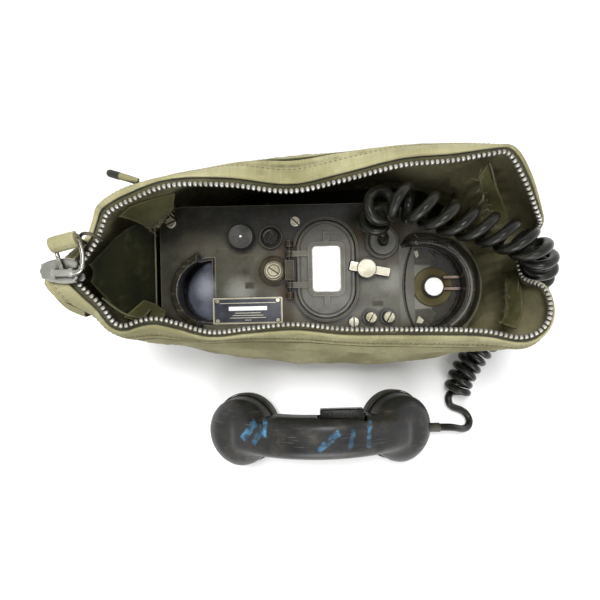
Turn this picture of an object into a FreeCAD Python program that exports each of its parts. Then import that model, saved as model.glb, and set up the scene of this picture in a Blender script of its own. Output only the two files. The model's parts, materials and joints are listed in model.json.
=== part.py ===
import FreeCAD, Part
import math
import os

# Field telephone lying on its back in an open canvas bag, with its handset beside the bag.
# Millimetres. X runs along the case, Y across it, Z up from the floor, origin under the case centre.

V = FreeCAD.Vector
os.makedirs("parts", exist_ok=True)

# ---- driving sizes: case and panel ----
caseLength = 254.0
caseWidth = 110.0
caseWall = 3.0
canvas = 2.2                    # thickness of the bag's cloth
panelTop = 100.0                # height of the panel's face over the floor
panelThick = 3.0
gasketThick = 1.0
panelInset = 1.0                # the panel's edge stands this far inside the case's edge
leftCornerRadius = 20.0
rightCornerRadius = 10.0
endRadius = 47.6                # round right end, about the right cradle
shoulderTurn = 60.0             # where the round end meets the sloped shoulder, degrees
caseEdgeRound = 5.0

# ---- cradles ----
cradleFromFront = 42.0          # the cradles' centre line from the case's front side
leftCradleFromEnd = 41.5
leftCradleRadius = 24.5
leftWallThick = 6.0
leftWallHeight = 9.0
leftPocketDepth = 12.0
rightCradleRadius = 32.5
rightRimThick = 6.0
rightRimHeight = 8.0
rightCupDepth = 8.0
rightChord = 14.0               # flat left side of the cup, left of its centre
cradleShell = 2.5
rampFromFace = 3.0              # the left pocket's floor under the panel's face at its open side
crescentOpen = 9.0              # the crescent stops this far left of the pocket's centre
rimOpen = 6.0                   # the right rim starts this far left of the cup's centre
rimSpread = 4.0                 # how much wider the right rim is at its foot
barStart = 18.5                 # the cup's two small bars, from its centre
barPitch = 9.2
barRise = 2.8                   # the middle of the two bars from the cradles' centre line
barWide = 1.8
barThick = 2.0

# ---- battery compartment ----
batteryX = 3.6
batteryY = 2.2
coverThick = 4.0
coverLift = 0.4                 # the cover's underside over the panel
collarGap = 1.0
collarThick = 1.8
collarHeight = 3.5
hingeFromCover = 5.4
hingeRise = 3.8                 # hinge axis over the panel
knuckleRadius = 3.0
pinRadius = 1.4
hingeBlockHalf = 3.4
hingeBlockSpan = (-7.8, 7.4)    # the middle block of the hinge, along Y from the cover's middle
lugOffsets = ((-22.2, -17.4), (18.0, 22.8))     # the panel's lugs, from the cover's middle
armOffsets = ((-13.8, -9.6), (10.4, 14.6))      # the cover's arms
hingeBlockRise = 2.2            # its top over the hinge axis
runningGap = 0.05               # radial clearance of a turning fit
cellRadius = 16.5
cellHeight = 61.0
cellGap = 0.2
cellSlack = 1.6                 # between a cell and the box's long side
cellEndSlack = 0.2
batteryWall = 1.6
batteryFloor = 2.0
contactThick = 2.2
contactRadius = 8.0
cellCapRadius = 4.5
cellCapHeight = 1.5
coverOverlap = 3.0              # the cover reaches this far past the battery box
padHalfWidth = 11.0
padHalfLength = 17.8
padOffset = (0.4, 0.2)          # the pad's middle from the cover's
padDepth = 2.0
padThick = 1.2
frameWide = 3.0
frameRise = 2.2
ribHalf = 2.0
ribReach = 8.0
ribRise = 1.8

# ---- turn latch ----
latchFromCover = 8.6
latchY = 2.0
latchAngle = -11.3
latchNose = 13.0
latchTail = 17.8
latchHubRadius = 7.5
latchNeckRadius = 4.6
latchArmWidth = 6.8
latchArmThick = 2.0
latchHubHeight = 7.0
latchStudRadius = 2.2
latchNotchGap = 0.7
latchOverCover = 0.5
latchTipLength = 2.0
latchTipDrop = 2.2

# ---- controls ----
knobX, knobY = -61.6, 28.8
knobRadius = 9.2
knobHeight = 8.0
knobSkirtRadius = 11.5
knobSkirtHeight = 2.2
controlShaftRadius = 3.0
controlRadius = 12.0
controlDepth = 13.0
lineSwitchX, lineSwitchY = -38.8, 28.1
lineSwitchRadius = 5.2
lineSwitchBossRadius = 8.8
lineSwitchBossHeight = 2.6
lineSwitchHeight = 3.4
lineSwitchDepth = 8.0
selectorX, selectorY = -36.9, 2.0
selectorRadius = 6.3
selectorHeight = 6.5
selectorBossRadius = 9.8
selectorBossHeight = 2.4
slotWidth = 1.3
slotDepth = 1.2

# ---- line posts, gland, plate, screws ----
postXs = (37.5, 51.3)
postFromFront = 19.2
postRadius = 4.3
postBaseRadius = 6.0
postBaseHeight = 2.2
postTravel = 3.0
postHeadThick = 2.6
postShaftLess = 1.6
glandX, glandY = 48.1, 22.9
glandRadius = 10.5
glandHeight = 7.0
glandBaseRadius = 14.0
glandBaseHeight = 2.6
plateFromPocket = 0.15          # the name plate's left end from the left pocket's centre
plateFromHinge = 6.35
plateFromFront = 26.4
plateWidth = 20.5
plateThick = 0.8
rivetRadius = 1.5
rivetInset = (3.6, 2.4)
rivetHeight = 0.7
screwRadius = 4.2
screwHeight = 2.0
screwFromEnd = 10.2
screwFromSide = 13.5

# ---- hook switch ----
plungerFromCup = 10.6           # the plunger's centre right of the cup's
plungerRadius = 7.4
plungerTop = 3.5                # over the cup's floor
plungerTravel = 4.0
sealRadius = 13.5
sealThick = 1.4
plungerGap = 0.3
plungerStemRadius = 2.5
hookFrameHalf = 16.0
hookFrameDeep = 8.0
hookFrameThick = 4.0
hookPostWide = 6.0
springRadius = 5.5
springWire = 1.5

# ---- hand generator ----
gearModule = 1.0
gearTeeth = 48
pinionTeeth = 12
gearWidth = 5.0
pressureAngle = 25.0
toothHeight = 0.8               # addendum, in modules
toothRoot = 1.15                # dedendum, in modules
backlash = 0.28
crankX = -48.0
crankZ = 46.0
crankRadius = 28.0
crankArmThick = 4.0
crankArmWidth = 11.0
crankGripRadius = 6.5
crankGripLength = 14.0
crankShaftRadius = 4.0
rotorRadius = 11.0
rotorLength = 46.0
rotorShaftRadius = 2.5
generatorPlate = 3.0
generatorClear = 4.0            # between the generator's frame and what is beside it
generatorHalf = 26.0
gripStudRadius = 2.5
magnetThick = 5.0
magnetGap = 0.8

# ---- buzzer and induction coil ----
buzzerX, buzzerY = 56.0, 20.0
buzzerRadius = 19.0
buzzerHeight = 24.0
coilX, coilY = 88.0, -22.0
coilHeight = 30.0
coilCoreHalf = (18.0, 13.0)
bobbinHalf = (13.0, 17.0)
bobbinInset = 6.0

# ---- handset ----
handsetY = -145.3
cupSpread = 68.5                # centre of each cap's face from the middle
capTilt = 20.0
capRadius = 32.5
capThick = 12.0
cupDepth = 24.0
cupWall = 3.0
cupDome = 9.0
handleWidth = 33.0
handleThick = 25.0
handleTopZ = 72.0
handleDrop = 23.0               # from the middle of the arch to its ends
handleHalf = 76.0
talkBarX = 17.8
talkBarLength = 43.0
talkBarHeight = 11.0
talkBarOut = 7.5
talkTravel = 3.0
talkPocket = 14.0
sleeveRadius = 4.3
sleeveLength = 11.0
sleeveOut = 14.5                # the sleeve's end beyond the cap's rim
sleeveZ = 27.0
sleeveFromMiddle = 2.5
capsuleInset = 6.0
capsuleDepth = 15.0
capsuleRise = 3.5
talkBarSunk = 5.5
talkGap = 0.4

# ---- cord ----
wireDiameter = 7.0
coilDiameter = 26.0
arcShare = 0.45

# ---- bag ----
chainSize = 4.2                 # square bead that the row of zip teeth fills
sliderLength = 22.0
sliderWidth = 14.0
sliderHeight = 7.0
sliderNose = 7.0                # the slider's plate beyond the tip of the bag
sliderRound = 5.0
sliderBarrel = 2.6
pullWire = 1.2
pullLength = 21.0
rollRadius = 5.0
rollLength = 18.0
strapRadius = 2.6
strapLength = 20.0
strapOffset = (-3.3, 4.9, -12.6)        # its root from the bag's back left corner

panelUnder = panelTop - panelThick
caseTop = panelUnder - gasketThick
caseBottom = canvas
innerFloor = caseBottom + caseWall
halfWidth = caseWidth / 2
caseLeft = -caseLength / 2
caseRight = caseLength / 2
caseFront = -halfWidth
caseBack = halfWidth
cradleY = caseFront + cradleFromFront
leftCradleX = caseLeft + leftCradleFromEnd
rightCradleX = caseRight - endRadius
plungerX = rightCradleX + plungerFromCup
cellPitch = 2 * cellRadius + cellGap
coverWidth = 2 * (cellRadius + cellSlack + batteryWall + coverOverlap)
coverLength = cellPitch + 2 * (cellRadius + cellEndSlack + batteryWall + coverOverlap)
hingeX = batteryX - coverWidth / 2 - hingeFromCover
latchX = batteryX + coverWidth / 2 + latchFromCover
postY = caseFront + postFromFront
plateLength = hingeX - plateFromHinge - leftCradleX - plateFromPocket
plateX = leftCradleX + plateFromPocket + plateLength / 2
plateY = caseFront + plateFromFront
padX0, padX1 = batteryX + padOffset[0] - padHalfWidth, batteryX + padOffset[0] + padHalfWidth
padY0, padY1 = batteryY + padOffset[1] - padHalfLength, batteryY + padOffset[1] + padHalfLength
screwSpots = (
    (caseLeft + screwFromEnd, caseBack - screwFromSide),
    (batteryX - 23.1, batteryY + 38.2),
    (batteryX + 21.3, batteryY - 41.6),
    (caseLeft + screwFromEnd, caseFront + screwFromSide),
)
endCentre = V(rightCradleX, cradleY, 0)

pieces = {}


def keep(name, shape):
    """Stores one node's shape under its name."""
    pieces[name] = shape


def cylinder(radius, x, y, z0, z1):
    return Part.makeCylinder(radius, z1 - z0, V(x, y, z0))


def box(x0, x1, y0, y1, z0, z1):
    return Part.makeBox(x1 - x0, y1 - y0, z1 - z0, V(x0, y0, z0))


def blockAt(x, y, halves, z0, z1):
    """A box about an upright centre line, given its half sizes along X and Y."""
    return box(x - halves[0], x + halves[0], y - halves[1], y + halves[1], z0, z1)


def barAlongY(radius, x, z, y0, y1):
    return Part.makeCylinder(radius, y1 - y0, V(x, y0, z), V(0, 1, 0))


def isUpright(edge):
    return abs(edge.tangentAt(edge.FirstParameter).z) > 0.9


def samePlace(edge, other):
    a, b = edge.Vertexes[0].Point, other.Vertexes[0].Point
    return math.hypot(a.x - b.x, a.y - b.y) < 0.01


def roundedBox(x0, x1, y0, y1, z0, z1, radius):
    """A box with its upright edges rounded."""
    solid = box(x0, x1, y0, y1, z0, z1)
    return solid.makeFillet(radius, [e for e in solid.Edges if isUpright(e)])


def stadium(x, y, width, length, z0, z1):
    """An upright stadium whose long way runs along Y."""
    r = width / 2
    half = length / 2 - r
    body = box(x - r, x + r, y - half, y + half, z0, z1)
    ends = [cylinder(r, x, y + side * half, z0, z1) for side in (-1, 1)]
    return body.fuse(ends).removeSplitter()


def softenTop(solid, radius, level):
    """Rounds the edges that lie at one level."""
    edges = [e for e in solid.Edges if all(abs(v.Z - level) < 0.01 for v in e.Vertexes)]
    return solid.makeFillet(radius, edges)


def slot(x, y, top, radius, angle=30.0):
    """The cut of a screwdriver slot in a round head."""
    cut = box(-radius * 1.2, radius * 1.2, -slotWidth / 2, slotWidth / 2, -slotDepth, slotDepth)
    cut.rotate(V(0, 0, 0), V(0, 0, 1), angle)
    cut.translate(V(x, y, top))
    return cut


# ---------------------------------------------------------------- case and panel
def caseOutline(inset, z0, z1):
    """Prism of the case's outline: square left end, round right end with a sloped shoulder."""
    left, low, high = caseLeft + inset, -halfWidth + inset, halfWidth - inset
    r = endRadius - inset
    lowAngle = math.asin((low - endCentre.y) / r)
    turn = math.radians(shoulderTurn)

    def onEnd(angle):
        return V(endCentre.x + r * math.cos(angle), endCentre.y + r * math.sin(angle), 0)

    lowPoint, shoulder = onEnd(lowAngle), onEnd(turn)
    rise = (high - shoulder.y) / math.cos(turn)
    top = V(shoulder.x - rise * math.sin(turn), high, 0)
    edges = [
        Part.makeLine(V(left, low, 0), lowPoint),
        Part.Arc(lowPoint, onEnd(0), shoulder).toShape(),
        Part.makeLine(shoulder, top),
        Part.makeLine(top, V(left, high, 0)),
        Part.makeLine(V(left, high, 0), V(left, low, 0)),
    ]
    solid = Part.Face(Part.Wire(edges)).extrude(V(0, 0, z1 - z0))
    solid.translate(V(0, 0, z0))
    leftEdges, rightEdges = [], []
    for e in solid.Edges:
        at = e.Vertexes[0].Point
        onSide = abs(at.y - low) < 0.01 or abs(at.y - high) < 0.01
        if isUpright(e) and onSide:
            (leftEdges if abs(at.x - left) < 0.01 else rightEdges).append(e)
    solid = solid.makeFillet(leftCornerRadius - inset, leftEdges)
    rightEdges = [e for e in solid.Edges if isUpright(e) and any(samePlace(e, r) for r in rightEdges)]
    return solid.makeFillet(rightCornerRadius - inset, rightEdges)


def makeCase():
    outer = caseOutline(0, caseBottom, caseTop)
    outer = softenTop(outer, caseEdgeRound, caseBottom)
    hollow = caseOutline(caseWall, innerFloor, caseTop + 1)
    body = outer.cut(hollow)
    bore = barAlongY(crankShaftRadius + runningGap, crankX, crankZ, halfWidth - caseWall - 1, halfWidth + 1)
    keep("case_body", body.cut(bore))
    ring = caseOutline(panelInset, caseTop, panelUnder).cut(
        caseOutline(caseWall + 1, caseTop - 1, panelUnder + 1))
    keep("panel_gasket", ring)


def leftPocketDisc(extra, z0, z1):
    """Half disc of the left pocket, open side to the right, grown by extra."""
    disc = cylinder(leftCradleRadius + extra, leftCradleX, cradleY, z0, z1)
    side = leftCradleRadius + extra + 1
    keepLeft = box(leftCradleX - side, leftCradleX + extra, cradleY - side, cradleY + side, z0, z1)
    return disc.common(keepLeft)


def rightCupDisc(extra, z0, z1):
    """Disc of the right cup with its flat left side, grown by extra."""
    disc = cylinder(rightCradleRadius + extra, rightCradleX, cradleY, z0, z1)
    side = rightCradleRadius + extra + 1
    cut = box(rightCradleX - rightChord - extra, rightCradleX + side, cradleY - side, cradleY + side, z0, z1)
    return disc.common(cut)


def makeLeftCradle():
    low = panelTop - leftPocketDepth
    shell = leftPocketDisc(cradleShell, low - cradleShell, panelTop)
    # the pocket's floor falls towards its outer end
    pocket = leftPocketDisc(0, low - 1, panelTop + 1)
    ramp = Part.makePolygon([
        V(leftCradleX + 1, 0, panelTop - rampFromFace), V(leftCradleX - leftCradleRadius - 1, 0, low),
        V(leftCradleX - leftCradleRadius - 1, 0, panelTop + 2), V(leftCradleX + 1, 0, panelTop + 2),
        V(leftCradleX + 1, 0, panelTop - rampFromFace)])
    ramp = Part.Face(ramp).extrude(V(0, 2 * leftCradleRadius + 4, 0))
    ramp.translate(V(0, cradleY - leftCradleRadius - 2, 0))
    shell = shell.cut(pocket.common(ramp))
    # crescent wall that stands over the panel round the pocket's outer side
    outer = cylinder(leftCradleRadius + leftWallThick, leftCradleX, cradleY, panelTop, panelTop + leftWallHeight)
    inner = cylinder(leftCradleRadius, leftCradleX, cradleY, panelTop - 1, panelTop + leftWallHeight + 1)
    reach = leftCradleRadius + leftWallThick + 1
    side = box(leftCradleX - reach, leftCradleX - crescentOpen, cradleY - reach, cradleY + reach,
               panelTop - 1, panelTop + leftWallHeight + 1)
    wall = outer.cut(inner).common(side)
    wall = softenTop(wall, 1.5, panelTop + leftWallHeight)
    keep("left_cradle", shell.fuse(wall).removeSplitter())


def makeRightCradle():
    low = panelTop - rightCupDepth
    shell = rightCupDisc(cradleShell, low - cradleShell, panelTop)
    shell = shell.cut(rightCupDisc(0, low, panelTop + 1))
    outer = Part.makeCone(rightCradleRadius + rightRimThick + rimSpread, rightCradleRadius + rightRimThick,
                          rightRimHeight, V(rightCradleX, cradleY, panelTop))
    inner = cylinder(rightCradleRadius, rightCradleX, cradleY, panelTop - 1, panelTop + rightRimHeight + 1)
    reach = rightCradleRadius + rightRimThick + rimSpread + 2
    side = box(rightCradleX - rimOpen, rightCradleX + reach, cradleY - reach, cradleY + reach,
               panelTop - 1, panelTop + rightRimHeight + 1)
    rim = outer.cut(inner).common(side)
    rim = softenTop(rim, 1.4, panelTop + rightRimHeight)
    cup = shell.fuse(rim).removeSplitter()
    cup = cup.cut(cylinder(plungerRadius + plungerGap, plungerX, cradleY, low - cradleShell - 1, low + 1))
    keep("right_cradle", cup)
    # two small bars that cross the cup's outer wall
    bars = []
    for step in (-1, 1):
        y = cradleY + barRise + step * barPitch / 2
        bar = box(rightCradleX + barStart, rightCradleX + rightCradleRadius + 5, y - barWide / 2, y + barWide / 2,
                  low + sealThick, low + sealThick + barThick)
        bars.append(bar.common(rightCupDisc(0, low, panelTop)))
    keep("cradle_bars", Part.makeCompound(bars))


def makePanel():
    low, high = panelUnder, panelTop
    panel = caseOutline(panelInset, low, high)
    gap = collarGap
    outer = stadium(batteryX, batteryY, coverWidth + 2 * (gap + collarThick),
                    coverLength + 2 * (gap + collarThick), high, high + collarHeight)
    inner = stadium(batteryX, batteryY, coverWidth + 2 * gap, coverLength + 2 * gap,
                    high - 1, high + collarHeight + 1)
    collar = outer.cut(inner)
    hingeCut = box(hingeX - 10, hingeX + hingeFromCover + 6, armOffsets[0][0] + batteryY - 2.9,
                   armOffsets[1][1] + batteryY + 3.7, high, high + collarHeight + 1)
    panel = panel.fuse(collar.cut(hingeCut))
    for y0, y1 in lugSpans():
        lug = barAlongY(knuckleRadius, hingeX, high + hingeRise, y0, y1)
        foot = box(hingeX - knuckleRadius, hingeX + knuckleRadius, y0, y1, high, high + hingeRise)
        panel = panel.fuse(lug.fuse(foot))
    block = box(hingeX - hingeBlockHalf, hingeX + hingeBlockHalf, batteryY + hingeBlockSpan[0],
                batteryY + hingeBlockSpan[1],
                high, high + hingeRise + hingeBlockRise)
    panel = panel.fuse(block)
    bosses = [
        (selectorX, selectorY, selectorBossRadius, selectorBossHeight),
        (lineSwitchX, lineSwitchY, lineSwitchBossRadius, lineSwitchBossHeight),
    ]
    for x, y, radius, height in bosses:
        panel = panel.fuse(cylinder(radius, x, y, high, high + height))
    panel = panel.removeSplitter()
    cuts = [
        stadium(batteryX, batteryY, coverWidth - 2 * coverOverlap, coverLength - 2 * coverOverlap, low - 1, high + 1),
        leftPocketDisc(cradleShell, low - 1, high + 1),
        rightCupDisc(cradleShell, low - 1, high + 1),
        cylinder(controlShaftRadius + runningGap, knobX, knobY, low - 1, high + 1),
        cylinder(lineSwitchRadius + runningGap, lineSwitchX, lineSwitchY, low - 1, high + 9),
        cylinder(controlShaftRadius + runningGap, selectorX, selectorY, low - 1, high + 9),
        cylinder(wireDiameter / 2 + 0.5, glandX, glandY, low - 1, high + 1),
        barAlongY(pinRadius, hingeX, high + hingeRise, *pinHole()),
        cylinder(latchStudRadius, latchX, latchY, low - 1, high + 1),
    ]
    for x in postXs:
        cuts.append(cylinder(postShaftRadius() + runningGap, x, postY, low - 1, high + 1))
    for x, y in screwSpots:
        cuts.append(cylinder(screwRadius / 2, x, y, low - 1, high + 1))
    for x, y in rivetSpots():
        cuts.append(cylinder(rivetRadius / 2, x, y, high - 2, high + 1))
    panel = panel.cut(cuts)
    keep("front_panel", panel)


def lugSpans():
    return [(batteryY + y0, batteryY + y1) for y0, y1 in lugOffsets]


def armSpans():
    return [(batteryY + y0, batteryY + y1) for y0, y1 in armOffsets]


def pinHole():
    """Where the hinge's bore starts and ends, past both lugs."""
    return lugSpans()[0][0] - 10, lugSpans()[1][1] + 10


def postShaftRadius():
    return postRadius - postShaftLess


def rivetSpots():
    dx, dy = plateLength / 2 - rivetInset[0], plateWidth / 2 - rivetInset[1]
    return [(plateX + sx * dx, plateY + sy * dy) for sx in (-1, 1) for sy in (-1, 1)]


# ---------------------------------------------------------------- battery cover and latch
def makeBatteryCover():
    z0 = panelTop + coverLift
    z1 = z0 + coverThick
    plate = softenTop(stadium(batteryX, batteryY, coverWidth, coverLength, z0, z1), 0.8, z1)
    frameTop = z1 + frameRise
    frame = roundedBox(padX0 - frameWide, padX1 + frameWide, padY0 - frameWide, padY1 + frameWide,
                       z1 - 1, frameTop, 5.0)
    cover = plate.fuse(frame)
    ribX = (padX0 + padX1) / 2
    for y0, y1 in ((padY1 + frameWide - 1, padY1 + frameWide + ribReach),
                   (padY0 - frameWide - ribReach, padY0 - frameWide + 1)):
        rib = roundedBox(ribX - ribHalf, ribX + ribHalf, y0, y1, z1 - 1, z1 + ribRise, ribHalf - 0.1)
        cover = cover.fuse(rib)
    axisZ = panelTop + hingeRise
    for y0, y1 in armSpans():
        arm = box(hingeX, padX0, y0, y1, axisZ - 1.2, axisZ + 1.8)
        knuckle = barAlongY(knuckleRadius, hingeX, axisZ, y0, y1)
        cover = cover.fuse(arm.fuse(knuckle))
    cover = cover.cut(roundedBox(padX0, padX1, padY0, padY1, frameTop - padDepth, frameTop + 1, 3.0))
    cover = cover.cut([barAlongY(pinRadius + runningGap, hingeX, axisZ, *pinHole()), latchNotch(z0 - 1, z1 + 1)])
    keep("battery_cover", cover.removeSplitter())
    keep("writing_pad", roundedBox(padX0, padX1, padY0, padY1, frameTop - padDepth,
                                   frameTop - padDepth + padThick, 3.0))
    pin = barAlongY(pinRadius, hingeX, axisZ, lugSpans()[0][0] - 0.6, lugSpans()[1][1] + 0.6)
    keep("hinge_pin", pin)


def latchNotch(z0, z1):
    """The gap in the cover's edge that lets the latch's nose through when the latch is straight."""
    half = latchArmWidth / 2 + latchNotchGap
    notch = box(-latchNose - latchNotchGap, 0, -half, half, z0, z1)
    notch.rotate(V(0, 0, 0), V(0, 0, 1), latchAngle)
    notch.translate(V(latchX, latchY, 0))
    return notch


def makeLatch():
    armLow = panelTop + coverLift + coverThick + latchOverCover
    armHigh = armLow + latchArmThick
    hub = cylinder(latchHubRadius, 0, 0, armLow - 0.3, panelTop + latchHubHeight + 1)
    hub = softenTop(hub, 0.8, panelTop + latchHubHeight + 1)
    hub = hub.fuse(cylinder(latchNeckRadius, 0, 0, panelTop + 0.3, armLow))
    nose = roundedBox(-latchNose, 0, -latchArmWidth / 2, latchArmWidth / 2, armLow, armHigh, 0.8)
    tail = roundedBox(0, latchTail, -latchArmWidth / 2 + 0.4, latchArmWidth / 2 - 0.4, armLow, armHigh, 0.8)
    tip = roundedBox(latchTail - latchTipLength, latchTail, -latchArmWidth / 2 + 0.4, latchArmWidth / 2 - 0.4,
                     armLow - latchTipDrop, armHigh, 0.8)
    latch = hub.fuse([nose, tail, tip]).removeSplitter()
    latch = latch.cut(cylinder(latchStudRadius + runningGap, 0, 0, panelTop - 1, panelTop + latchHubHeight - 1))
    latch.rotate(V(0, 0, 0), V(0, 0, 1), latchAngle)
    latch.translate(V(latchX, latchY, 0))
    keep("cover_latch", latch)


def makeBattery():
    width, length = coverWidth - 2 * coverOverlap, coverLength - 2 * coverOverlap
    top = panelTop - 1.5
    cellTop = top - 0.5
    cellLow = cellTop - cellHeight
    contactLow = cellLow - contactThick
    boxLow = contactLow - batteryFloor
    outer = stadium(batteryX, batteryY, width, length, boxLow, top)
    inner = stadium(batteryX, batteryY, width - 2 * batteryWall, length - 2 * batteryWall, contactLow, top + 1)
    keep("battery_box", outer.cut(inner))
    cells = [cylinder(cellRadius, batteryX, batteryY + s * cellPitch / 2, cellLow, cellTop - cellCapHeight)
             for s in (-1, 1)]
    caps = [cylinder(cellCapRadius, batteryX, batteryY + s * cellPitch / 2, cellTop - cellCapHeight, cellTop)
            for s in (-1, 1)]
    keep("dry_cells", Part.makeCompound([a.fuse(b) for a, b in zip(cells, caps)]))
    contacts = [cylinder(contactRadius, batteryX, batteryY + s * cellPitch / 2, contactLow, cellLow) for s in (-1, 1)]
    keep("battery_contacts", Part.makeCompound(contacts))


# ---------------------------------------------------------------- controls on the panel
def makeControls():
    z = panelTop
    skirt = Part.makeCone(knobSkirtRadius, knobSkirtRadius - 0.8, knobSkirtHeight, V(knobX, knobY, z + 0.4))
    top = cylinder(knobRadius, knobX, knobY, z + 0.4 + knobSkirtHeight - 0.2, z + knobHeight)
    top = softenTop(top, 0.8, z + knobHeight)
    dot = cylinder(1.0, knobX, knobY, z + knobHeight - 0.5, z + knobHeight + 1)
    shaft = cylinder(controlShaftRadius, knobX, knobY, caseTop - controlDepth + 2, z + 2)
    keep("volume_knob", skirt.fuse([top, shaft]).removeSplitter().cut(dot))
    control = cylinder(controlRadius, knobX, knobY, panelUnder - controlDepth, panelUnder)
    control = control.cut(cylinder(controlShaftRadius + runningGap, knobX, knobY,
                                   panelUnder - controlDepth - 1, panelUnder + 1))
    keep("volume_control", control)
    rotor = cylinder(lineSwitchRadius, lineSwitchX, lineSwitchY, panelUnder - lineSwitchDepth, z + lineSwitchHeight)
    keep("line_switch", rotor.cut(slot(lineSwitchX, lineSwitchY, z + lineSwitchHeight, lineSwitchRadius, 70)))
    head = cylinder(selectorRadius, selectorX, selectorY, z + selectorBossHeight + 0.3, z + selectorHeight)
    head = softenTop(head, 0.7, z + selectorHeight)
    stem = cylinder(controlShaftRadius, selectorX, selectorY, panelUnder - controlDepth + 1,
                    z + selectorBossHeight + 1)
    head = head.fuse(stem).removeSplitter()
    keep("selector", head.cut(slot(selectorX, selectorY, z + selectorHeight, selectorRadius * 0.6, -35)))
    wafer = cylinder(controlRadius + 3, selectorX, selectorY, panelUnder - controlDepth, panelUnder)
    wafer = wafer.cut(cylinder(controlShaftRadius + runningGap, selectorX, selectorY,
                               panelUnder - controlDepth - 1, panelUnder + 1))
    keep("selector_switch", wafer.cut(cylinder(lineSwitchRadius + 1, lineSwitchX, lineSwitchY,
                                               panelUnder - controlDepth - 1, panelUnder + 1)))
    plate = roundedBox(plateX - plateLength / 2, plateX + plateLength / 2, plateY - plateWidth / 2,
                       plateY + plateWidth / 2, z, z + plateThick, 0.8)
    plate = plate.cut([cylinder(rivetRadius / 2, x, y, z - 1, z + 2) for x, y in rivetSpots()])
    keep("name_plate", plate)
    rivets = []
    for x, y in rivetSpots():
        head = cylinder(rivetRadius, x, y, z + plateThick, z + plateThick + rivetHeight)
        rivets.append(head.fuse(cylinder(rivetRadius / 2, x, y, z - 2, z + plateThick)).removeSplitter())
    keep("plate_rivets", Part.makeCompound(rivets))
    screws = []
    for x, y in screwSpots:
        head = softenTop(cylinder(screwRadius, x, y, z, z + screwHeight), 0.7, z + screwHeight)
        shank = cylinder(screwRadius / 2, x, y, panelUnder - 3, z)
        screws.append(head.fuse(shank).removeSplitter().cut(slot(x, y, z + screwHeight, screwRadius, 15 + 3 * x)))
    stud = cylinder(latchStudRadius, latchX, latchY, panelUnder - 3, z + latchHubHeight - 2)
    screws.append(stud)
    keep("panel_screws", Part.makeCompound(screws))


def makePosts():
    z = panelTop
    bases = []
    for name, x in zip(("line_post_left", "line_post_right"), postXs):
        base = cylinder(postBaseRadius, x, postY, z, z + postBaseHeight)
        bases.append(base.cut(cylinder(postShaftRadius() + runningGap, x, postY, z - 1, z + postBaseHeight + 1)))
        headLow = z + postBaseHeight + postTravel + 0.3
        headTop = headLow + postHeadThick
        head = softenTop(cylinder(postRadius, x, postY, headLow, headTop), 0.6, headTop)
        shaft = cylinder(postShaftRadius(), x, postY, panelUnder - 5, headLow)
        post = head.fuse(shaft).removeSplitter()
        keep(name, post.cut(slot(x, postY, headTop, postRadius * 0.8, 60)))
    keep("post_bases", Part.makeCompound(bases))


def makeGland():
    z = panelTop
    base = Part.makeCone(glandBaseRadius, glandBaseRadius - 1.5, glandBaseHeight, V(glandX, glandY, z))
    nut = cylinder(glandRadius, glandX, glandY, z + glandBaseHeight, z + glandHeight)
    nut = softenTop(nut, 1.2, z + glandHeight)
    gland = base.fuse(nut).removeSplitter()
    hole = cylinder(wireDiameter / 2 + 0.5, glandX, glandY, z - 1, z + glandHeight + 1)
    keep("cord_gland", gland.cut(hole))


def makeHookSwitch():
    floor = panelTop - rightCupDepth
    under = floor - cradleShell
    top = floor + sealThick + plungerTop
    button = softenTop(cylinder(plungerRadius, plungerX, cradleY, under - 4, top), 1.0, top)
    stem = cylinder(plungerStemRadius, plungerX, cradleY, under - 12, under - 3)
    keep("hook_plunger", button.fuse(stem).removeSplitter())
    seal = cylinder(sealRadius, plungerX, cradleY, floor, floor + sealThick)
    seal = seal.common(rightCupDisc(-0.1, floor, floor + sealThick))
    keep("hook_seal", seal.cut(cylinder(plungerRadius + plungerGap, plungerX, cradleY, floor - 1, floor + 9)))
    low = under - 14 - plungerTravel
    front, rear = cradleY - hookFrameDeep, cradleY + hookFrameDeep
    base = box(plungerX - hookFrameHalf, plungerX + hookFrameHalf, front, rear, low - hookFrameThick, low)
    inside = hookFrameHalf - hookPostWide
    posts = [box(plungerX - hookFrameHalf, plungerX - inside, front, rear, low, under),
             box(plungerX + inside, plungerX + hookFrameHalf, front, rear, low, under)]
    keep("hook_frame", base.fuse(posts).removeSplitter())
    ring = cylinder(springRadius, plungerX, cradleY, low, under - 4)
    ring = ring.cut(cylinder(springRadius - springWire, plungerX, cradleY, low - 1, under))
    keep("hook_spring", ring)


# ---------------------------------------------------------------- hand generator
def gearFace(teeth):
    """Outline of a spur gear, a tooth centred on +X."""
    pitch = gearModule * teeth / 2
    base = pitch * math.cos(math.radians(pressureAngle))
    tip = pitch + toothHeight * gearModule
    root = pitch - toothRoot * gearModule
    start = max(base, root)
    roll = lambda radius: math.sqrt(max((radius / base) ** 2 - 1, 0.0))
    flankAt = lambda radius: roll(radius) - math.atan(roll(radius))
    half = (math.pi / 2 * gearModule - backlash / 2) / (2 * pitch) + flankAt(pitch)
    radii = [start + (tip - start) * i / 4 for i in range(5)]
    edges, first, last = [], None, None
    for tooth in range(teeth):
        middle = 2 * math.pi * tooth / teeth
        side = lambda radius, sign: V(
            radius * math.cos(middle + sign * (half - flankAt(radius))),
            radius * math.sin(middle + sign * (half - flankAt(radius))), 0)
        footA = V(root * math.cos(middle - half), root * math.sin(middle - half), 0)
        footB = V(root * math.cos(middle + half), root * math.sin(middle + half), 0)
        rising = [side(r, -1) for r in radii]
        falling = [side(r, 1) for r in reversed(radii)]
        points = ([footA] if root < start - 0.01 else []) + rising + falling + (
            [footB] if root < start - 0.01 else [])
        if last is not None:
            edges.append(Part.makeLine(last, points[0]))
        else:
            first = points[0]
        for a, b in zip(points, points[1:]):
            edges.append(Part.makeLine(a, b))
        last = points[-1]
    edges.append(Part.makeLine(last, first))
    return Part.Face(Part.Wire(edges))


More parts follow.
